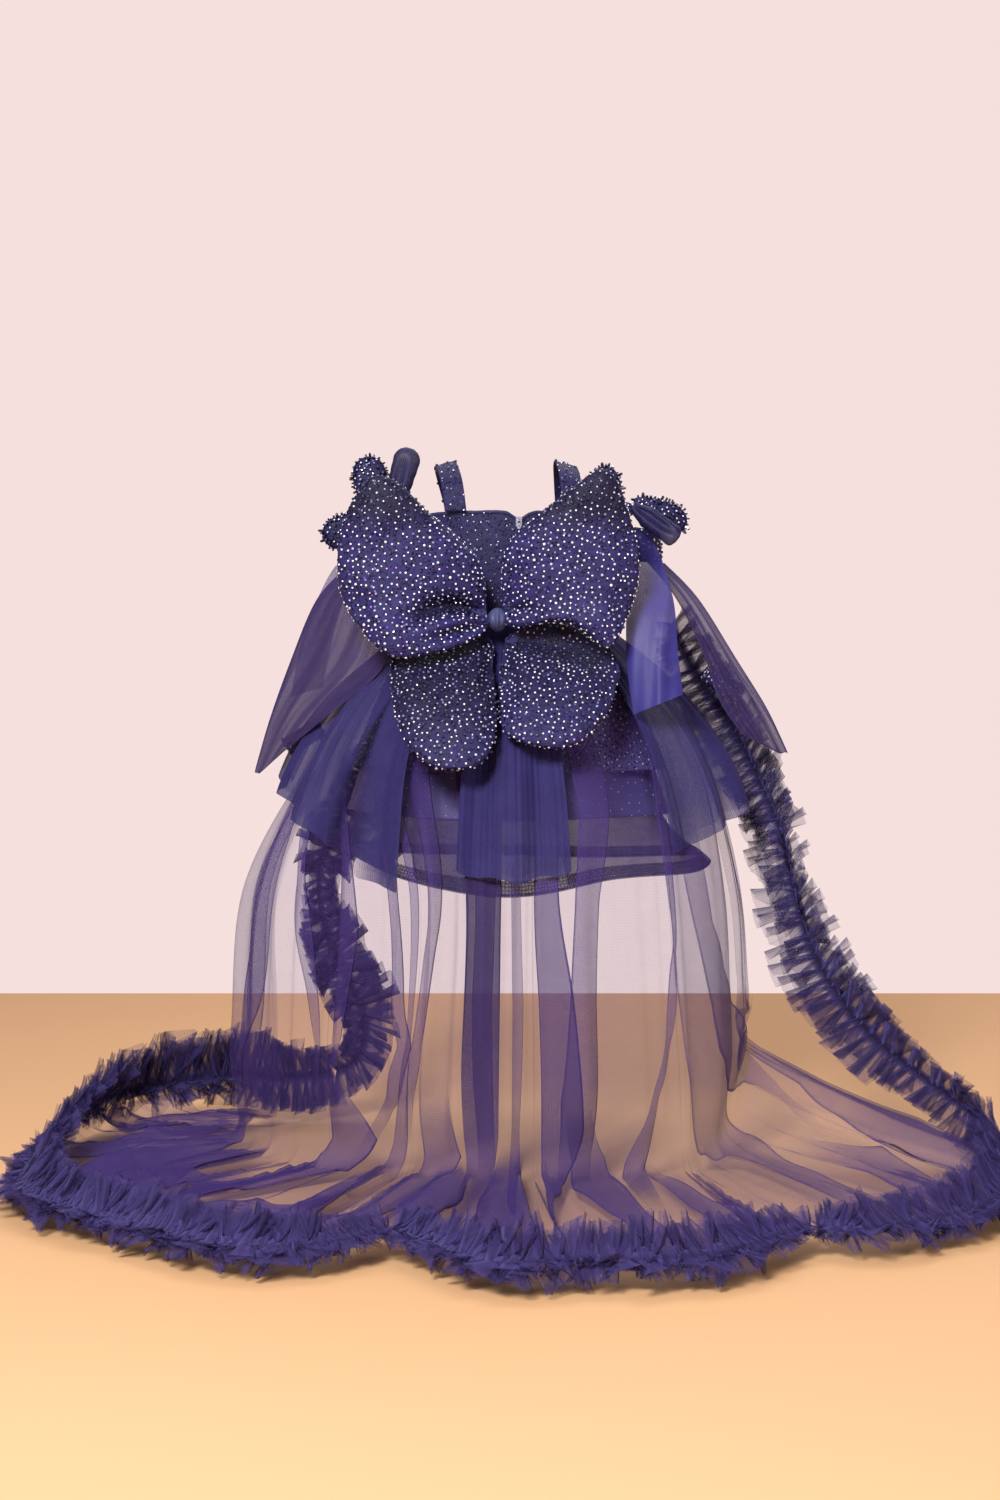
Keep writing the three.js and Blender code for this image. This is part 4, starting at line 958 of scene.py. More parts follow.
# Each panel's first and last rib, and its folds: the layers in each of a fold's two sheets, and the ribs
# that it lies between at some heights.
TRAIN_PANELS = {
    "far_left": (0.2, 4.92, [
        (1.0, [[0.1, 0.6, 1.0], [0.3, 0.45, 0.75], [0.43, 0.5, 0.75], [0.52, 0.6, 0.9], [0.62, 0.9, 1.2]]),
        (1.2, [[0.1, 2.2, 2.6], [0.33, 2.9, 3.35], [0.42, 3.0, 3.4], [0.52, 2.6, 2.8], [0.6, 2.4, 2.5]]),
        (1.2, [[0.15, 3.5, 3.9], [0.33, 3.8, 4.1], [0.42, 4.2, 4.5], [0.49, 4.6, 4.8], [0.56, 4.6, 4.75]]),
        (1.9, [[0.56, 2.0, 2.3], [0.66, 2.1, 2.9], [0.74, 2.2, 3.1], [0.84, 2.9, 3.4], [0.97, 3.2, 3.4]]),
        (1.9, [[0.6, 3.2, 3.5], [0.7, 3.0, 3.6], [0.82, 3.7, 4.2], [0.97, 4.1, 4.3]]),
        (1.6, [[0.6, 0.3, 0.8], [0.72, 0.6, 1.3], [0.85, 1.0, 1.6], [0.97, 1.2, 1.5]]),
        (1.8, [[0.66, 4.5, 4.8], [0.73, 3.4, 4.2], [0.78, 2.2, 3.0], [0.84, 1.6, 2.1]]),
        (1.6, [[0.62, 1.2, 1.6], [0.72, 1.5, 2.2], [0.82, 2.0, 2.6], [0.97, 2.3, 2.6]]),
        (1.5, [[0.68, 2.6, 3.3], [0.78, 2.4, 3.4], [0.88, 3.2, 3.8], [0.98, 3.7, 3.9]]),
    ]),
    "left": (4.92, 7.08, [
        (1.5, [[0.1, 5.6, 6.2], [0.3, 5.95, 6.4], [0.375, 6.05, 6.4], [0.45, 6.25, 6.65],
               [0.485, 6.55, 7.05], [0.53, 6.2, 6.7], [0.57, 5.7, 6.0], [0.61, 5.4, 5.6]]),
        (1.8, [[0.5, 4.95, 5.1], [0.58, 5.0, 5.9], [0.63, 4.6, 5.5], [0.72, 4.3, 4.9], [0.86, 4.5, 4.9]]),
        (1.2, [[0.25, 5.0, 5.2], [0.4, 5.2, 5.5], [0.5, 5.1, 5.3], [0.56, 5.0, 5.1]]),
        (1.4, [[0.62, 5.6, 6.3], [0.76, 5.8, 6.6], [0.88, 6.0, 6.5], [0.98, 6.1, 6.3]]),
        (1.7, [[0.68, 6.6, 6.9], [0.76, 5.2, 5.9], [0.84, 4.9, 5.2]]),
        (1.3, [[0.2, 6.5, 7.0], [0.36, 6.75, 7.05], [0.48, 6.85, 7.0], [0.6, 6.3, 6.9], [0.7, 6.2, 6.6]]),
    ]),
    "centre_left": (7.08, 10.6, [
        (1.3, [[0.1, 7.3, 7.9], [0.3, 7.4, 7.8], [0.38, 7.35, 7.7], [0.42, 7.2, 7.6], [0.47, 7.1, 7.5],
               [0.52, 6.95, 7.2], [0.6, 6.7, 6.9]]),
        (4.2, [[0.02, 8.3, 9.3], [0.25, 8.35, 9.25], [0.4, 8.4, 9.2], [0.5, 8.4, 9.2], [0.57, 8.45, 9.2],
               [0.64, 8.55, 9.05], [0.72, 8.65, 8.95], [0.8, 8.7, 8.85]]),
        (1.5, [[0.62, 8.1, 8.6], [0.7, 8.0, 8.7], [0.8, 8.2, 8.6], [0.97, 8.4, 8.6]]),
        (2.2, [[0.02, 8.5, 9.0], [0.3, 8.6, 9.1], [0.45, 8.55, 9.0], [0.56, 8.7, 9.1], [0.64, 8.8, 9.2]]),
        (1.2, [[0.3, 9.4, 9.6], [0.45, 9.5, 9.8], [0.56, 9.5, 9.7], [0.7, 9.4, 9.8], [0.85, 9.8, 9.95]]),
        (1.3, [[0.5, 7.3, 8.0], [0.6, 7.5, 8.4], [0.7, 7.3, 8.0], [0.85, 7.0, 7.5], [0.98, 7.1, 7.3]]),
        (1.5, [[0.58, 9.3, 9.9], [0.68, 8.9, 9.6], [0.8, 9.0, 9.5], [0.97, 9.3, 9.5]]),
    ]),
    "centre_right": (10.6, 13.9, [
        (1.5, [[0.05, 10.9, 11.5], [0.3, 11.6, 12.1], [0.38, 11.55, 11.95], [0.45, 11.45, 11.85],
               [0.53, 11.3, 11.8], [0.57, 11.3, 11.75], [0.66, 11.2, 11.6]]),
        (1.2, [[0.52, 11.3, 11.6], [0.6, 11.45, 11.9], [0.66, 11.35, 11.95], [0.72, 11.55, 11.95],
               [0.85, 11.75, 11.95]]),
        (2.3, [[0.25, 10.65, 11.25], [0.38, 10.75, 11.35], [0.45, 10.9, 11.5], [0.56, 10.95, 11.6],
               [0.6, 10.95, 11.5], [0.67, 10.8, 11.15], [0.77, 10.15, 10.3], [0.88, 10.1, 10.2]]),
        (1.4, [[0.2, 13.4, 13.9], [0.38, 13.35, 13.7], [0.43, 13.1, 13.4], [0.48, 12.9, 13.05],
               [0.53, 12.58, 12.7], [0.58, 12.3, 12.55], [0.64, 12.05, 12.38], [0.72, 11.98, 12.2]]),
        (1.0, [[0.6, 12.3, 12.5], [0.68, 12.5, 12.9], [0.8, 12.6, 13.1], [0.97, 12.8, 13.0]]),
        (1.2, [[0.66, 13.2, 13.5], [0.74, 13.5, 13.8], [0.84, 13.3, 13.8], [0.97, 13.5, 13.7]]),
    ]),
    "right": (13.9, 17.0, [
        (0.7, [[0.1, 13.3, 14.6], [0.3, 13.1, 15.1], [0.38, 13.2, 15.15], [0.45, 13.5, 15.25],
               [0.52, 13.85, 15.28], [0.6, 14.1, 15.2], [0.65, 14.7, 15.3], [0.72, 14.7, 15.05],
               [0.88, 14.6, 14.75]]),
        (1.0, [[0.3, 14.1, 14.5], [0.4, 14.3, 14.6], [0.46, 14.5, 15.2], [0.5, 14.6, 15.6],
               [0.56, 15.2, 16.2], [0.62, 15.9, 16.5], [0.66, 16.0, 16.3], [0.715, 15.55, 15.62]]),
        (0.8, [[0.5, 16.1, 16.9], [0.56, 16.4, 17.0], [0.62, 16.5, 17.0], [0.68, 16.4, 17.0],
               [0.75, 15.8, 17.0], [0.83, 15.9, 17.0], [0.96, 16.0, 16.9]]),
        (0.9, [[0.44, 15.3, 15.45], [0.5, 16.0, 16.15], [0.56, 16.8, 16.95], [0.62, 16.9, 16.98]]),
        (0.8, [[0.1, 15.6, 16.2], [0.25, 15.7, 16.3], [0.4, 15.8, 16.0], [0.48, 15.7, 15.8]]),
        (0.9, [[0.68, 15.2, 15.5], [0.76, 15.3, 15.8], [0.86, 15.2, 15.6], [0.97, 15.3, 15.5]]),
    ]),
}


def train_layers(u, v, seed):
    """Tulle is densest where it is gathered at the waist and into the frill."""
    into_frill = ease(0.82, 1, v) * (1.2 + waves(u * 8, seed, 1, 9))
    return 1 + 1.4 * (1 - ease(0.0, 0.24, v)) + np.maximum(into_frill, 0)


for seed, (name, (start, end, folds)) in enumerate(TRAIN_PANELS.items()):
    across = int(30 * (end - start))
    base = grid(lambda u, v: train_point(start + (end - start) * u, v), across, 110,
                lambda u, v: train_layers(u, v, 95 + seed), lambda u, v: cut_edge(u, v, 1 / across))
    piece = cloth(f"train_{name}_tulle", [base] + [fold_over(layers, rows) for layers, rows in folds], TULLE)
    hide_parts(f"train_{name}")

# ---- Overskirt: three short puffs of gathered tulle over the head of the train. Each is many layers deep,
# and is turned up at its hem, which hangs unevenly.

OVERSKIRT = table("height half_width half_depth", [
    [WAIST - 3, 99, 77], [470, 140, 99], [440, 170, 122], [400, 201, 148], [362, 222, 166], [322, 236, 186],
    [280, 246, 204]])
PUFFS = table("start end fall_start fall_end folds depth longer", [
    [-88, -27, 0.7, 1, 4, 5, 26], [-11, 13, 1, 1, 2, 4, 15], [38, 90, 0.96, 0.76, 3, 5, 0]])
PUFF_LAYERS = (4.5, 5.0, 4.6)
INNER_SHARE = 0.2  # the share of the layers that hangs inside, a little away from the rest
INNER_LIFT = -4.0
PUFF_TULLE = sheer_finish("puff_tulle", 0.34, (0.016, 0.0125, 0.072), (0.029, 0.023, 0.125))


def puff_point(k, u, v, lift=0.0):
    """A point of a puff, from its left end to its right end and from the waist to its hem."""
    angle = PUFFS["start"][k] + (PUFFS["end"][k] - PUFFS["start"][k]) * u
    fall = PUFFS["fall_start"][k] + (PUFFS["fall_end"][k] - PUFFS["fall_start"][k]) * u
    at = v * fall * (len(OVERSKIRT["height"]) - 1)
    fold = PUFFS["depth"][k] * ease(0.1, 0.6, v) * np.cos(2 * np.pi * PUFFS["folds"][k] * u)
    fine = 1.8 * waves(u * 3, 110 + k, 0.8, 6) * ease(0.02, 0.2, v) * (1 - 0.6 * ease(0.3, 0.9, v))
    fine = fine + 4 * waves(u + 0.2 * v, 115 + k, 0.8, 3.2) * ease(0.2, 0.8, v)
    angle = angle + (k == 0) * 3 * v * ease(0.6, 1, u)
    part = np.sin(np.pi * u) ** 0.5 if k == 1 else ease(0.76, 0.84, u)  # the part that hangs lower
    hem = 5 * ease(0.6, 1, v) * waves(u, 118 + k, 0.8, 3) - PUFFS["longer"][k] * ease(0.7, 1, v) * part
    return ring(angle, smooth(OVERSKIRT["half_width"], at) + fold + fine + lift,
                smooth(OVERSKIRT["half_depth"], at) + fold + fine + lift,
                smooth(OVERSKIRT["height"], at) + hem)


def puff_layers(k, u, v):
    """Layers of tulle: the left puff parts near its end, and the right one thins out towards its hem."""
    thin = (k == 2) * ease(0.82, 1.1, v + 0.35 * ease(0.5, 1, u))
    gap = (k == 0) * bump(u, 0.8 - 0.02 * v, 0.045 * ease(0.35, 0.95, v) + 0.001) ** 0.25
    most = PUFF_LAYERS[k] * (1 + 0.1 * waves(u * 2, 120 + k, 1, 5))
    return most * (1 - 0.6 * thin) * (1 - gap) + 2 * (1 - ease(0, 0.3, v))


for k, name in enumerate(("left", "centre", "right")):
    outer = grid(lambda u, v: puff_point(k, u, v), 160, 60, lambda u, v: puff_layers(k, u, v), cut_edge)
    inner = grid(lambda u, v: puff_point(k, 0.03 + 0.94 * u, 0.97 * v, INNER_LIFT), 100, 50,
                 lambda u, v: INNER_SHARE * puff_layers(k, 0.03 + 0.94 * u, v), cut_edge)
    piece = cloth(f"overskirt_{name}_puff", [outer, inner], PUFF_TULLE)
    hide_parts(f"overskirt_{name}")

# ---- Back bow: four beaded wings, padded and gathered into a small satin knot at the back of the waist.
# The upper wings pass over the lower ones. Each is a slim closed skin that air pressure pads out as cloth,
# and the creases that run out from the knot are then drawn into it.

KNOT = np.array([-1.0, -108.0, 504.0])
WINGS = {
    "upper_left": dict(swell=19.0, middle=(-88, 556), rows=table("x height", [
        [-14, 519], [-22, 562], [-58, 599], [-112, 635], [-146, 592], [-148, 524], [-106, 477], [-52, 478],
        [-15, 495]])),
    "upper_right": dict(swell=19.0, middle=(80, 562), rows=table("x height", [
        [8, 502], [60, 500], [104, 484], [127, 530], [126, 582], [99, 640], [50, 613], [8, 574],
        [2, 522]])),
    "lower_left": dict(swell=17.0, middle=(-54, 428), rows=table("x height", [
        [-14, 491], [-60, 496], [-102, 474], [-99, 420], [-68, 375], [-20, 373], [-2.5, 410], [-5, 470]])),
    "lower_right": dict(swell=17.0, middle=(56, 436), rows=table("x height", [
        [13, 492], [4, 470], [1.5, 412], [22, 393], [68, 392], [103, 428], [106, 472], [60, 501]])),
}
# Creases in each wing, as soft troughs along short curves: points, widths and depths in millimetres. A
# ridge has a depth below zero.
CREASE_COLUMNS = "x height width depth"
CREASES = {name: [table(CREASE_COLUMNS, rows) for rows in curves] for name, curves in {
    "upper_left": [
        [[-11, 509, 4, 7], [-24, 514, 7, 14], [-48, 518, 9, 18], [-66, 513, 10, 14], [-82, 505, 9, 6],
         [-96, 498, 8, 0]],
        [[-11, 502, 3, 4], [-35, 495, 4, 8], [-60, 487, 5, 6], [-82, 482, 6, 0]],
        [[-12, 506, 4, -2], [-40, 504, 5, -5], [-76, 499, 6, 0]],
        [[-9, 514, 3, 3], [-13, 540, 4, 5], [-22, 564, 6, 0]],
        [[-120, 560, 10, 0], [-100, 585, 14, 4], [-70, 600, 12, 0]],
    ],
    "upper_right": [
        [[7, 513, 4, 4], [20, 516, 5, 9], [34, 513, 6, 5], [48, 509, 6, 0]],
        [[8, 507, 3, 3], [26, 506, 3, 4], [44, 505, 4, 0]],
        [[5, 520, 3, 3], [10, 546, 4, 4], [20, 570, 6, 0]],
        [[60, 600, 10, 0], [92, 596, 14, 4], [118, 575, 12, 0]],
    ],
    "lower_left": [
        [[-9, 488, 6, 8], [-45, 478, 13, 14], [-85, 468, 13, 12], [-108, 458, 10, 5]],
        [[-7, 480, 3, 4], [-12, 455, 5, 6], [-22, 428, 7, 0]],
        [[-12, 486, 3, 3], [-36, 460, 6, 5], [-60, 436, 8, 0]],
    ],
    "lower_right": [
        [[8, 489, 6, 8], [40, 481, 14, 16], [80, 472, 15, 15], [108, 462, 10, 6]],
        [[5, 478, 3, 4], [10, 450, 5, 5], [18, 424, 7, 0]],
        [[12, 484, 3, 3], [36, 458, 6, 5], [62, 436, 8, 0]],
    ],
}.items()}
UPPER_LEAN = 0.4  # how far the upper wings' tips lean back, away from the wearer, above this height
LEAN_ABOVE = 582.0
LEAN_SOFT = 12.0  # millimetres over which the lean begins


def closed_curve(rows, names, share):
    """A smooth closed line through a few points."""
    out = []
    for name in names.split():
        column = rows[name]
        n = len(column)
        at = (share % 1) * n
        i = np.floor(at).astype(int)
        out.append(through(*(column[(i + k) % n] for k in (-1, 0, 1, 2)), at - i))
    return np.stack(out, -1)


def wing_depth(upper, x, height):
    """How far behind the body a wing's middle lies."""
    reach = np.hypot(x - KNOT[0], height - KNOT[2])
    spread = 1 - np.exp(-reach / 45)
    if upper:
        lean = UPPER_LEAN * LEAN_SOFT * np.log1p(np.exp((height - LEAN_ABOVE) / LEAN_SOFT))
        return 108 + 26 * spread + 0.5 * np.maximum(0, 520 - height) + lean
    return 104 + 0.78 * np.maximum(0, 489 - height)


def crease_depth(name, x, height):
    """How deep the creases are at a point of a wing."""
    total = 0
    for curve in CREASES[name]:
        rows = smooth_point(curve, CREASE_COLUMNS, np.linspace(0, len(curve["x"]) - 1, 40))
        distance = np.hypot(x[..., None] - rows[:, 0], height[..., None] - rows[:, 1])
        depths = rows[:, 3] * bump(distance, 0, rows[:, 2])
        total = total + depths.max(-1) + np.minimum(depths.min(-1), 0)
    return total


def lay_flat(piece):
    """Gives a padded piece smooth faces and a UV map named cut: its places seen from behind."""
    mesh = piece.data
    if not mesh.uv_layers:
        mesh.uv_layers.new(name="cut")
    corners = np.array([loop.vertex_index for loop in mesh.loops])
    mesh.uv_layers["cut"].data.foreach_set("uv", mesh_points(piece)[corners][:, [0, 2]].ravel())
    mesh.polygons.foreach_set("use_smooth", [True] * len(mesh.polygons))


def padded_piece(name, place_at, count, rings):
    """A closed padded mesh from two polar grids that meet at a rim. place_at takes the turn, the share of
    the way out to the rim and the side, -1 for the face at the back of the dress and 1 for the one towards
    the body."""
    turn = np.arange(count) / count
    share = 1 - (1 - np.arange(1, rings) / rings) ** 1.35
    around = np.arange(count)
    after = (around + 1) % count
    points, faces, last_rings = [], [], []
    for side in (-1, 1):
        centre = 0 if side < 0 else 1 + count * (rings - 1)
        points.append(place_at(np.zeros(1), np.zeros(1), side))
        points.append(place_at(np.tile(turn, rings - 1), np.repeat(share, count), side))
        ring_faces = [np.stack([centre + 0 * around, centre + 1 + around, centre + 1 + after], -1)]
        for k in range(rings - 2):
            inner = centre + 1 + k * count
            outer = inner + count
            ring_faces.append(np.stack([inner + around, outer + around, outer + after, inner + after], -1))
        for made in ring_faces:
            faces += (made if side < 0 else made[:, ::-1]).tolist()
        last_rings.append(centre + 1 + (rings - 2) * count)
    rim = 2 * (1 + count * (rings - 1))
    points.append(place_at(turn, np.ones(count), 0))
    front, back = last_rings
    faces += np.stack([front + around, rim + around, rim + after, front + after], -1).tolist()
    faces += np.stack([back + after, rim + after, rim + around, back + around], -1).tolist()
    piece = new_piece(name, (np.concatenate(points) - [0, 0, SHOULDER_HEIGHT]) / 1000, faces)
    lay_flat(piece)
    return piece


AIR_PRESSURE = 4
CLOTH_FRAMES = 20
SKIN_FACE = 0.0045  # metres


def blown_up(piece, most):
    """Pads a closed slim piece out: a cloth simulation with air pressure inside, in which no point may move
    further than most, in millimetres. The skin is made of even faces first and is made finer after it."""
    finish_mesh(piece, "REMESH", mode="VOXEL", voxel_size=SKIN_FACE, use_smooth_shade=True)
    before = mesh_points(piece)
    skin = piece.modifiers.new("skin", "CLOTH")
    skin.settings.use_pressure = True
    skin.settings.uniform_pressure_force = AIR_PRESSURE
    skin.settings.effector_weights.gravity = 0
    for frame_number in range(1, CLOTH_FRAMES + 1):
        bpy.context.scene.frame_set(frame_number)
    bpy.context.view_layer.objects.active = piece
    bpy.ops.object.modifier_apply(modifier=skin.name)
    bpy.context.scene.frame_set(1)
    moved = mesh_points(piece) - before
    reach = np.linalg.norm(moved, axis=1, keepdims=True) * 1000
    moved = moved * np.minimum(1, most / np.maximum(reach, 1e-6))
    piece.data.vertices.foreach_set("co", (before + moved).ravel())
    finish_mesh(piece, "SUBSURF", levels=1, render_levels=1)


def wing_shade(name, height):
    """How far a wing lies in shade: at the upper wings' tips and under the upper wings."""
    if name.startswith("upper"):
        return ease(578, 612, height)
    if name == "lower_left":
        return 0.92 * ease(350, 445, height)
    return 0.65 * ease(385, 465, height)


PAD_SLIM = 0.82  # the share of its swell that a wing has before it is blown up
MOST_BLOWN = 5.0
RIM_DRAWN_IN = 4.0  # millimetres that the padding draws the rim in by
WING_STONES = dict(spacing=4.6, size=0.95)
for seed, (name, wing) in enumerate(WINGS.items()):
    upper = name.startswith("upper")
    middle = np.array(wing["middle"], float)

    def wing_at(turn, share, side):
        edge = closed_curve(wing["rows"], "x height", turn) - middle
        flat = middle + (edge + RIM_DRAWN_IN * unit(edge)) * share[..., None]
        thick = PAD_SLIM * wing["swell"] * np.sqrt(np.maximum(1 - share**2.6, 0)) * side
        y = -wing_depth(upper, flat[..., 0], flat[..., 1]) + thick
        return np.stack([flat[..., 0], y, flat[..., 1]], -1)

    piece = padded_piece(f"bow_wing_{name}_pad", wing_at, 100, 24)
    blown_up(piece, MOST_BLOWN)
    places = mesh_points(piece)
    faces_back = np.array([v.normal[1] for v in piece.data.vertices])
    x, height = places[:, 0] * 1000, places[:, 2] * 1000 + SHOULDER_HEIGHT
    crease = crease_depth(name, x, height)
    outside = np.clip(-2 * faces_back, 0, 1)
    inside = np.clip(2 * faces_back, 0, 1)
    puckers = 0.7 * waves(np.arctan2(height - middle[1], x - middle[0]) * 3, 130 + seed, 1, 5)
    places[:, 1] += (outside * (crease + puckers) - 0.4 * inside * np.maximum(crease, 0)) / 1000
    piece.data.vertices.foreach_set("co", places.ravel())
    # Painted shade: the cloth is darkened in the creases, at the upper wings' tips and under the upper wings.
    set_shade(piece, np.maximum(ease(2, 12, crease), wing_shade(name, height)) * outside)
    lay_flat(piece)
    piece.data.materials.clear()
    piece.data.materials.append(BEADED)
    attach(piece, "dress")
    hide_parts(f"bow_wing_{name}")

    # Painted shade: the stones there are dimmed as well.
    def stone_shade(found):
        x, height = found[:, 0] * 1000, found[:, 2] * 1000 + SHOULDER_HEIGHT
        return np.maximum(0.8 * ease(2, 12, crease_depth(name, x, height)), 0.6 * wing_shade(name, height))

    stones(f"bow_wing_{name}_stones", piece, seed=140 + seed, dim=stone_shade, **WING_STONES)


KNOT_SATIN = satin_finish("knot_satin", (0.05, 0.06, 0.15), (0.085, 0.095, 0.22))


def knot_at(turn, share, side):
    """The knot: a band of satin pulled round the bow, with three soft folds down it."""
    theta = 2 * np.pi * turn
    lift = np.sqrt(np.maximum(1 - share**2, 0))
    fold = 1 + 0.07 * np.cos(3 * np.pi * share * np.cos(theta)) * lift
    x = KNOT[0] - 1.5 + 8.8 * share * np.cos(theta) * (1 + 0.1 * np.cos(theta) ** 2)
    z = KNOT[2] + 2 + 11.5 * share * np.sin(theta)
    y = KNOT[1] + side * 21 * lift * fold
    return np.stack([x, y, z], -1)


knot = padded_piece("bow_knot_satin", knot_at, 48, 16)
knot.data.materials.append(KNOT_SATIN)
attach(knot, "dress")
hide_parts("bow_knot")

# ---- Shoulder bows: on each arm band sit two padded beaded wings round a small knot, a loop of organza
# that stands out behind them, and a long organza tail. All are sewn to the band.

WING_COLUMNS = "turn length half right up"
TAIL_COLUMNS = "x y height half turn"
SHOULDER_BOWS = {
    "left": dict(knot=(-132, -36, 606),
                 wings=table(WING_COLUMNS, [[92, 64, 20, 5, 0], [220, 54, 18, 2, 13]]),
                 loop=dict(turn=74, right=23, up=4, length=72, half=11, behind=-17, width=1.25, back=0.0,
                           closes=0.8, corner=2, flat=(0.072, 0.068)),
                 tail_layers=(0.8, 0.0), tail_flat=(0.034, 0.15), tail=table(TAIL_COLUMNS, [
                     [-150, 12, 574, 8, 0], [-164, 26, 552, 13, 10], [-184, 34, 500, 17, 14],
                     [-197, 36, 438, 17, 18]])),
    "right": dict(knot=(124, -45, 616),
                  wings=table(WING_COLUMNS, [[132, 46, 18, 0, 4], [-27, 68, 17, -2, 15]]),
                  loop=dict(turn=-37, right=4, up=1, length=54, half=10.5, behind=27, width=1.0, back=-0.12,
                            closes=0.84, corner=3.5, flat=(0.062, 0.056)),
                  tail_layers=(1.7, 0.8), tail_flat=(0.056, 0.19), tail=table(TAIL_COLUMNS, [
                      [136, -50, 592, 11, 0], [140, -60, 566, 17, 4], [143, -104, 520, 23, 8],
                      [144, -122, 470, 25, 16], [149, -132, 426, 25, 22]])),
}
LEAF_START = 10.0  # millimetres from the knot's middle to where a wing begins
LEAF_THICK = 7.5
ORGANZA = sheer_finish("blue_organza", 0.66, (0.023, 0.019, 0.14), (0.037, 0.032, 0.21), roughness=0.5)
LOOP_ORGANZA = sheer_finish("loop_organza", 0.66, (0.01, 0.008, 0.042), (0.018, 0.015, 0.075), roughness=0.5)
for seed, (side, bow) in enumerate(SHOULDER_BOWS.items()):
    root = np.array(bow["knot"], float)

    def bow_knot_at(turn, share, face):
        theta = 2 * np.pi * turn
        lift = np.sqrt(np.maximum(1 - share**2, 0))
        x, y, z = 6.6 * share * np.cos(theta), face * 5.8 * lift, 7.6 * share * np.sin(theta)
        return root + np.stack([x, y, z], -1)

    piece = padded_piece(f"shoulder_bow_{side}_knot_pad", bow_knot_at, 24, 8)
    piece.data.materials.append(BEADED)
    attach(piece, "dress")
    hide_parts(f"shoulder_bow_{side}_knot")
    stones(f"shoulder_bow_{side}_knot_stones", piece, 4.4, 150 + seed)
    for name, turned, length, half, right, up in zip(("upper", "lower"), *bow["wings"].values()):
        along = np.array([math.cos(math.radians(turned)), math.sin(math.radians(turned))])
        beside = np.array([-along[1], along[0]])

        def leaf_at(turn, share, face):
            a = 2 * np.pi * turn
            reach = LEAF_START + (length - LEAF_START) * (0.5 - 0.5 * np.cos(a))
            spread = -half * np.sin(a) * (0.78 - 0.3 * np.cos(a))
            edge = reach[..., None] * along + spread[..., None] * beside
            centre = along * (LEAF_START + 0.55 * (length - LEAF_START))
            flat = centre + (edge - centre) * share[..., None]
            thick = face * LEAF_THICK * np.sqrt(np.maximum(1 - share**2.6, 0))
            groove = 2.2 * bump(flat @ beside, 0, 3.5) * (1 - ease(0.3 * length, 0.8 * length, flat @ along))
            y = root[1] + thick - face * groove + 0.08 * np.linalg.norm(flat, axis=-1)
            return np.stack([root[0] + right + flat[..., 0], y, root[2] + up + flat[..., 1]], -1)

        piece = padded_piece(f"shoulder_bow_{side}_wing_{name}_pad", leaf_at, 72, 16)
        piece.data.materials.append(BEADED)
        # Painted shade: the wings' cloth is darkened evenly and their stones dimmed.
        set_shade(piece, 0.5)
        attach(piece, "dress")
        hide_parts(f"shoulder_bow_{side}_wing_{name}")
        stones(f"shoulder_bow_{side}_wing_{name}_stones", piece, 3.6, 160 + seed, size=0.85, stalk=2.6,
               dim=0.35)

    loop = bow["loop"]
    turned = math.radians(loop["turn"])
    along = np.array([math.cos(turned), loop["back"], math.sin(turned)])
    beside = np.array([-along[2], 0, along[0]])

    def loop_at(u, v):
        """A tube of ribbon, flatter across than it is wide, with a seam behind and a narrow end."""
        a = 2 * np.pi * (u + 0.25)
        start = root + [loop["right"], -loop["behind"], loop["up"]]
        narrow = 0.5 + 0.5 * ease(0, 0.35, v) + (loop["width"] - 1) * ease(0.2, 0.9, v)
        closing = np.clip((v - loop["closes"]) / (1 - loop["closes"]), 0, 1) ** loop["corner"]
        narrow = narrow * np.sqrt(np.maximum(1 - closing * 0.9, 0))
        spread = loop["half"] * narrow * np.cos(a) * (1 + 0.05 * waves(v * 3, 165, 0.5, 2))
        bulge = 0.8 * loop["half"] * narrow * np.sin(a)
        dent = 5 * bump(u, 0.53, 0.07) * ease(0, 0.2, v) * (1 - ease(0.6, 1, v))
        return (start + (loop["length"] * v)[..., None] * along + spread[..., None] * beside
                + np.stack([0 * u, bulge + dent, 0 * u], -1))

    tube = grid(loop_at, 48, 30, lambda u, v: 2.6 - 1.4 * ease(0.3, 1, v), lambda u, v: cut_edge(v, v, 0.05))
    piece = cloth(f"shoulder_bow_{side}_loop_ribbon", [tube], LOOP_ORGANZA)
    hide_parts(f"shoulder_bow_{side}_loop")

    def tail_at(u, v):
        at = v * (len(bow["tail"]["x"]) - 1)
        place = smooth_point(bow["tail"], "x y height", at)
        across = (2 * u - 1) * smooth(bow["tail"]["half"], at)
        turn = np.radians(smooth(bow["tail"]["turn"], at))
        cup = 0.0125 * across**2 + 1.5 * waves(u * 1.5 + v, 170 + seed, 0.6, 2)
        return place + np.stack([across * np.cos(turn), cup, across * np.sin(turn)], -1)

    least, more = bow["tail_layers"]
    hanging = grid(tail_at, 30, 80, lambda u, v: least + more * ease(0.3, 0.6, v), cut_edge)
    piece = cloth(f"shoulder_bow_{side}_tail_ribbon", [hanging], ORGANZA)
    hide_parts(f"shoulder_bow_{side}_tail")

# ---- Drape sleeves: a fall of sheer tulle from each arm band, open behind the arm and ending in a point
# below the wrist. A rolled hem runs down both edges.

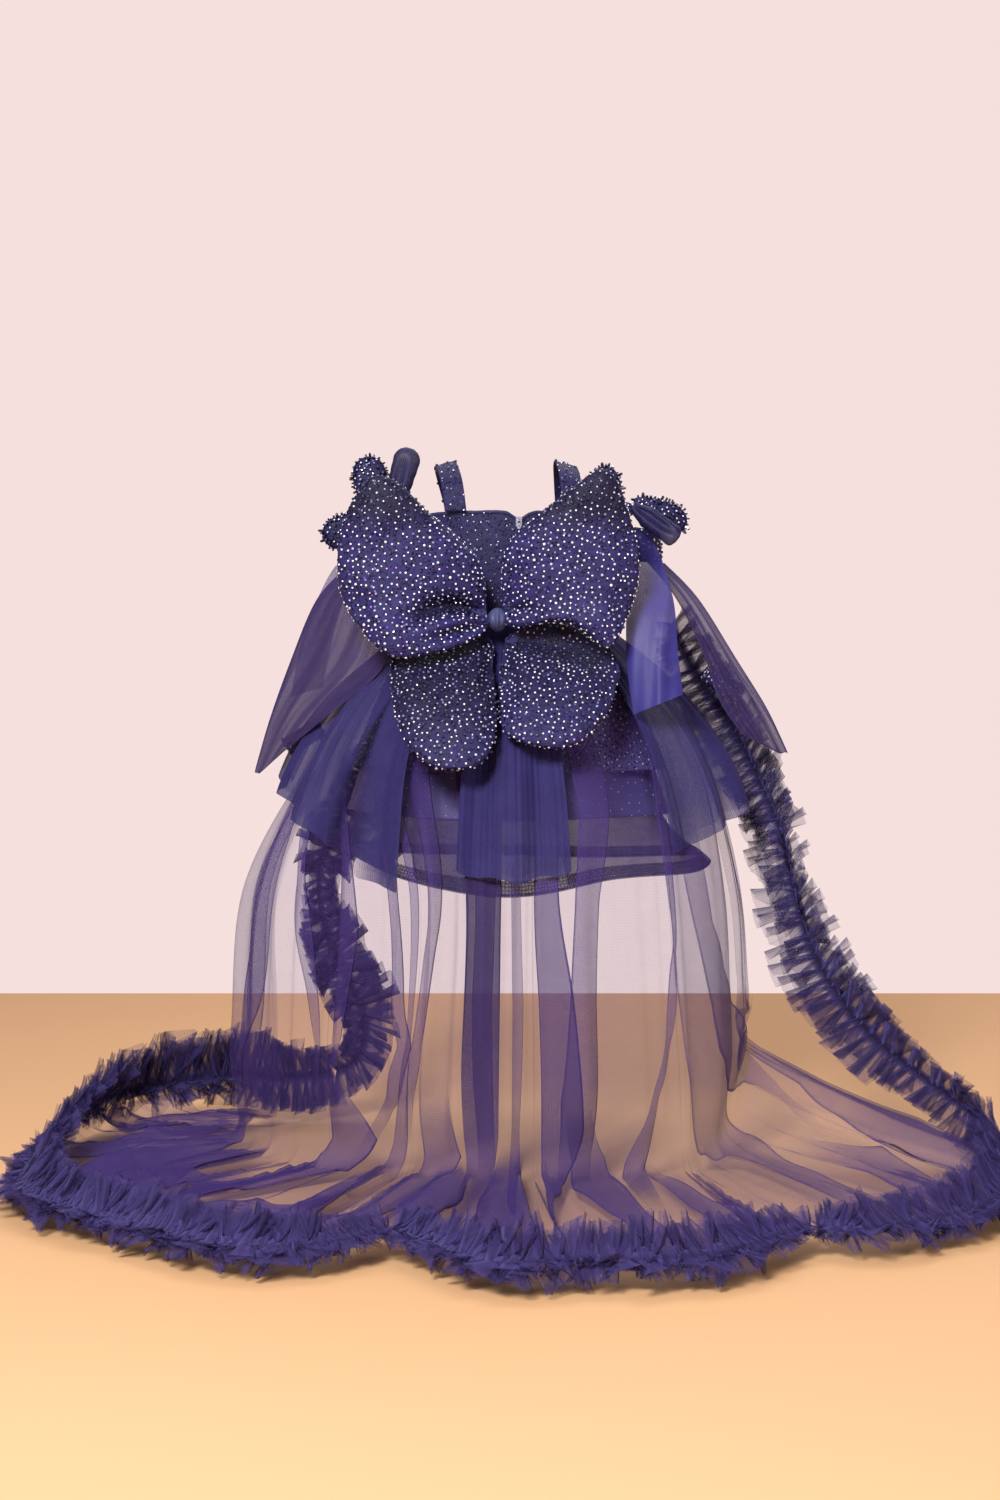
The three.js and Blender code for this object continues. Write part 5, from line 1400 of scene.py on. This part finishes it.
OUTER = "outer_x outer_y outer_height"
INNER = "inner_x inner_y inner_height"
SLEEVE_COLUMNS = f"{OUTER} {INNER} bulge"
SLEEVES = {
    "left": table(SLEEVE_COLUMNS, [
        [-150, -6, 566, -104, -48, 568, 3], [-183, -6, 530, -98, -58, 536, 9],
        [-208, -10, 470, -112, -68, 464, 8], [-229, -14, 410, -166, -66, 416, 4],
        [-246, -16, 350, -214, -34, 378, 2]]),
    "right": table(SLEEVE_COLUMNS, [
        [164, -10, 566, 142, -40, 568, 2], [196, -26, 530, 172, -42, 530, 3],
        [232, -40, 470, 198, -56, 475, 5], [262, -46, 420, 212, -66, 430, 7],
        [285, -44, 371, 234, -68, 397, 5]]),
}
POINT_ROUNDED = 8.0  # millimetres that the sleeve's point is drawn in by
SLEEVE_DEPTHS = {"left": 5.0, "right": 3.4}  # layers of tulle
SLEEVE_TULLE = sheer_finish("sleeve_tulle", 0.36, (0.02, 0.012, 0.056), (0.036, 0.021, 0.1))
for seed, (side, rows) in enumerate(SLEEVES.items()):
    def sleeve_at(u, v):
        at = v * 4
        outer = smooth_point(rows, OUTER, at)
        inner = smooth_point(rows, INNER, at)
        ripple = np.sin(np.pi * u) + 0.3 * np.cos(6 * np.pi * u) - 0.3
        ripple = ripple + 0.15 * waves(2 * u + v, 180 + seed, 1, 4)
        bulge = smooth(rows["bulge"], at) * ripple
        blunt = POINT_ROUNDED * bump(u, 0, 0.16) * bump(v, 1, 0.035)
        sign = -1 if side == "right" else 1
        place = outer * (1 - u[..., None]) + inner * u[..., None]
        return place + np.stack([sign * 0.5 * blunt, -bulge, 0.9 * blunt], -1)

    def sleeve_layers(u, v):
        folded = 1.8 * ease(0.0, 0.6, waves(u * 2.6 + 0.4 * v, 185 + seed, 0.6, 1.8))
        streaks = 0.8 * ease(0.2, 0.7, waves(u * 9 + 0.5 * v, 187 + seed, 0.7, 2))
        return SLEEVE_DEPTHS[side] + folded + streaks + 1.4 * (1 - ease(0, 0.3, v))

    def rolled_hem(u, v):
        """The two side edges and the point, as a share from 0 to 1."""
        return np.clip(2.6 - np.minimum(np.minimum(u, 1 - u) * 60, (1 - v) * 90), 0, 1)

    piece = cloth(f"sleeve_{side}_tulle", [grid(sleeve_at, 60, 90, sleeve_layers, rolled_hem)], SLEEVE_TULLE)
    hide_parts(f"sleeve_{side}")

# ---- Cuffs: a beaded band round each wrist, tilted as the forearm is. It is folded lengthwise and closed
# into a ring, with stones all round its outside.

CUFFS = {"left": (-200, 42, 392, 30), "right": (224, 6, 446, -36)}  # x, y, height and tilt in degrees
CUFF_RADIUS = 20.0
CUFF_HEIGHT = 18.0
for seed, (side, (x, y, height, tilt)) in enumerate(CUFFS.items()):
    lean = math.radians(-tilt)
    cos, sin = math.cos(lean), math.sin(lean)

    def cuff_at(u, v):
        a = 2 * np.pi * u
        rise = CUFF_HEIGHT * (0.5 - v)
        round_x, round_y = CUFF_RADIUS * np.cos(a), CUFF_RADIUS * np.sin(a)
        across, up = round_x * cos + rise * sin, rise * cos - round_x * sin
        return np.stack([x + across, y + round_y, height + up], -1)

    piece = cloth(f"cuff_{side}_band", [grid(cuff_at, 64, 8)], BEADED, thick=CLOTH_THICK)
    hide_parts(f"cuff_{side}")
    outside = faces_out(np.array([x, y, height - SHOULDER_HEIGHT]) / 1000, 0.008, sides=3)
    sewn = stones(f"cuff_{side}_stones", piece, 4.4, 190 + seed, keep=outside)
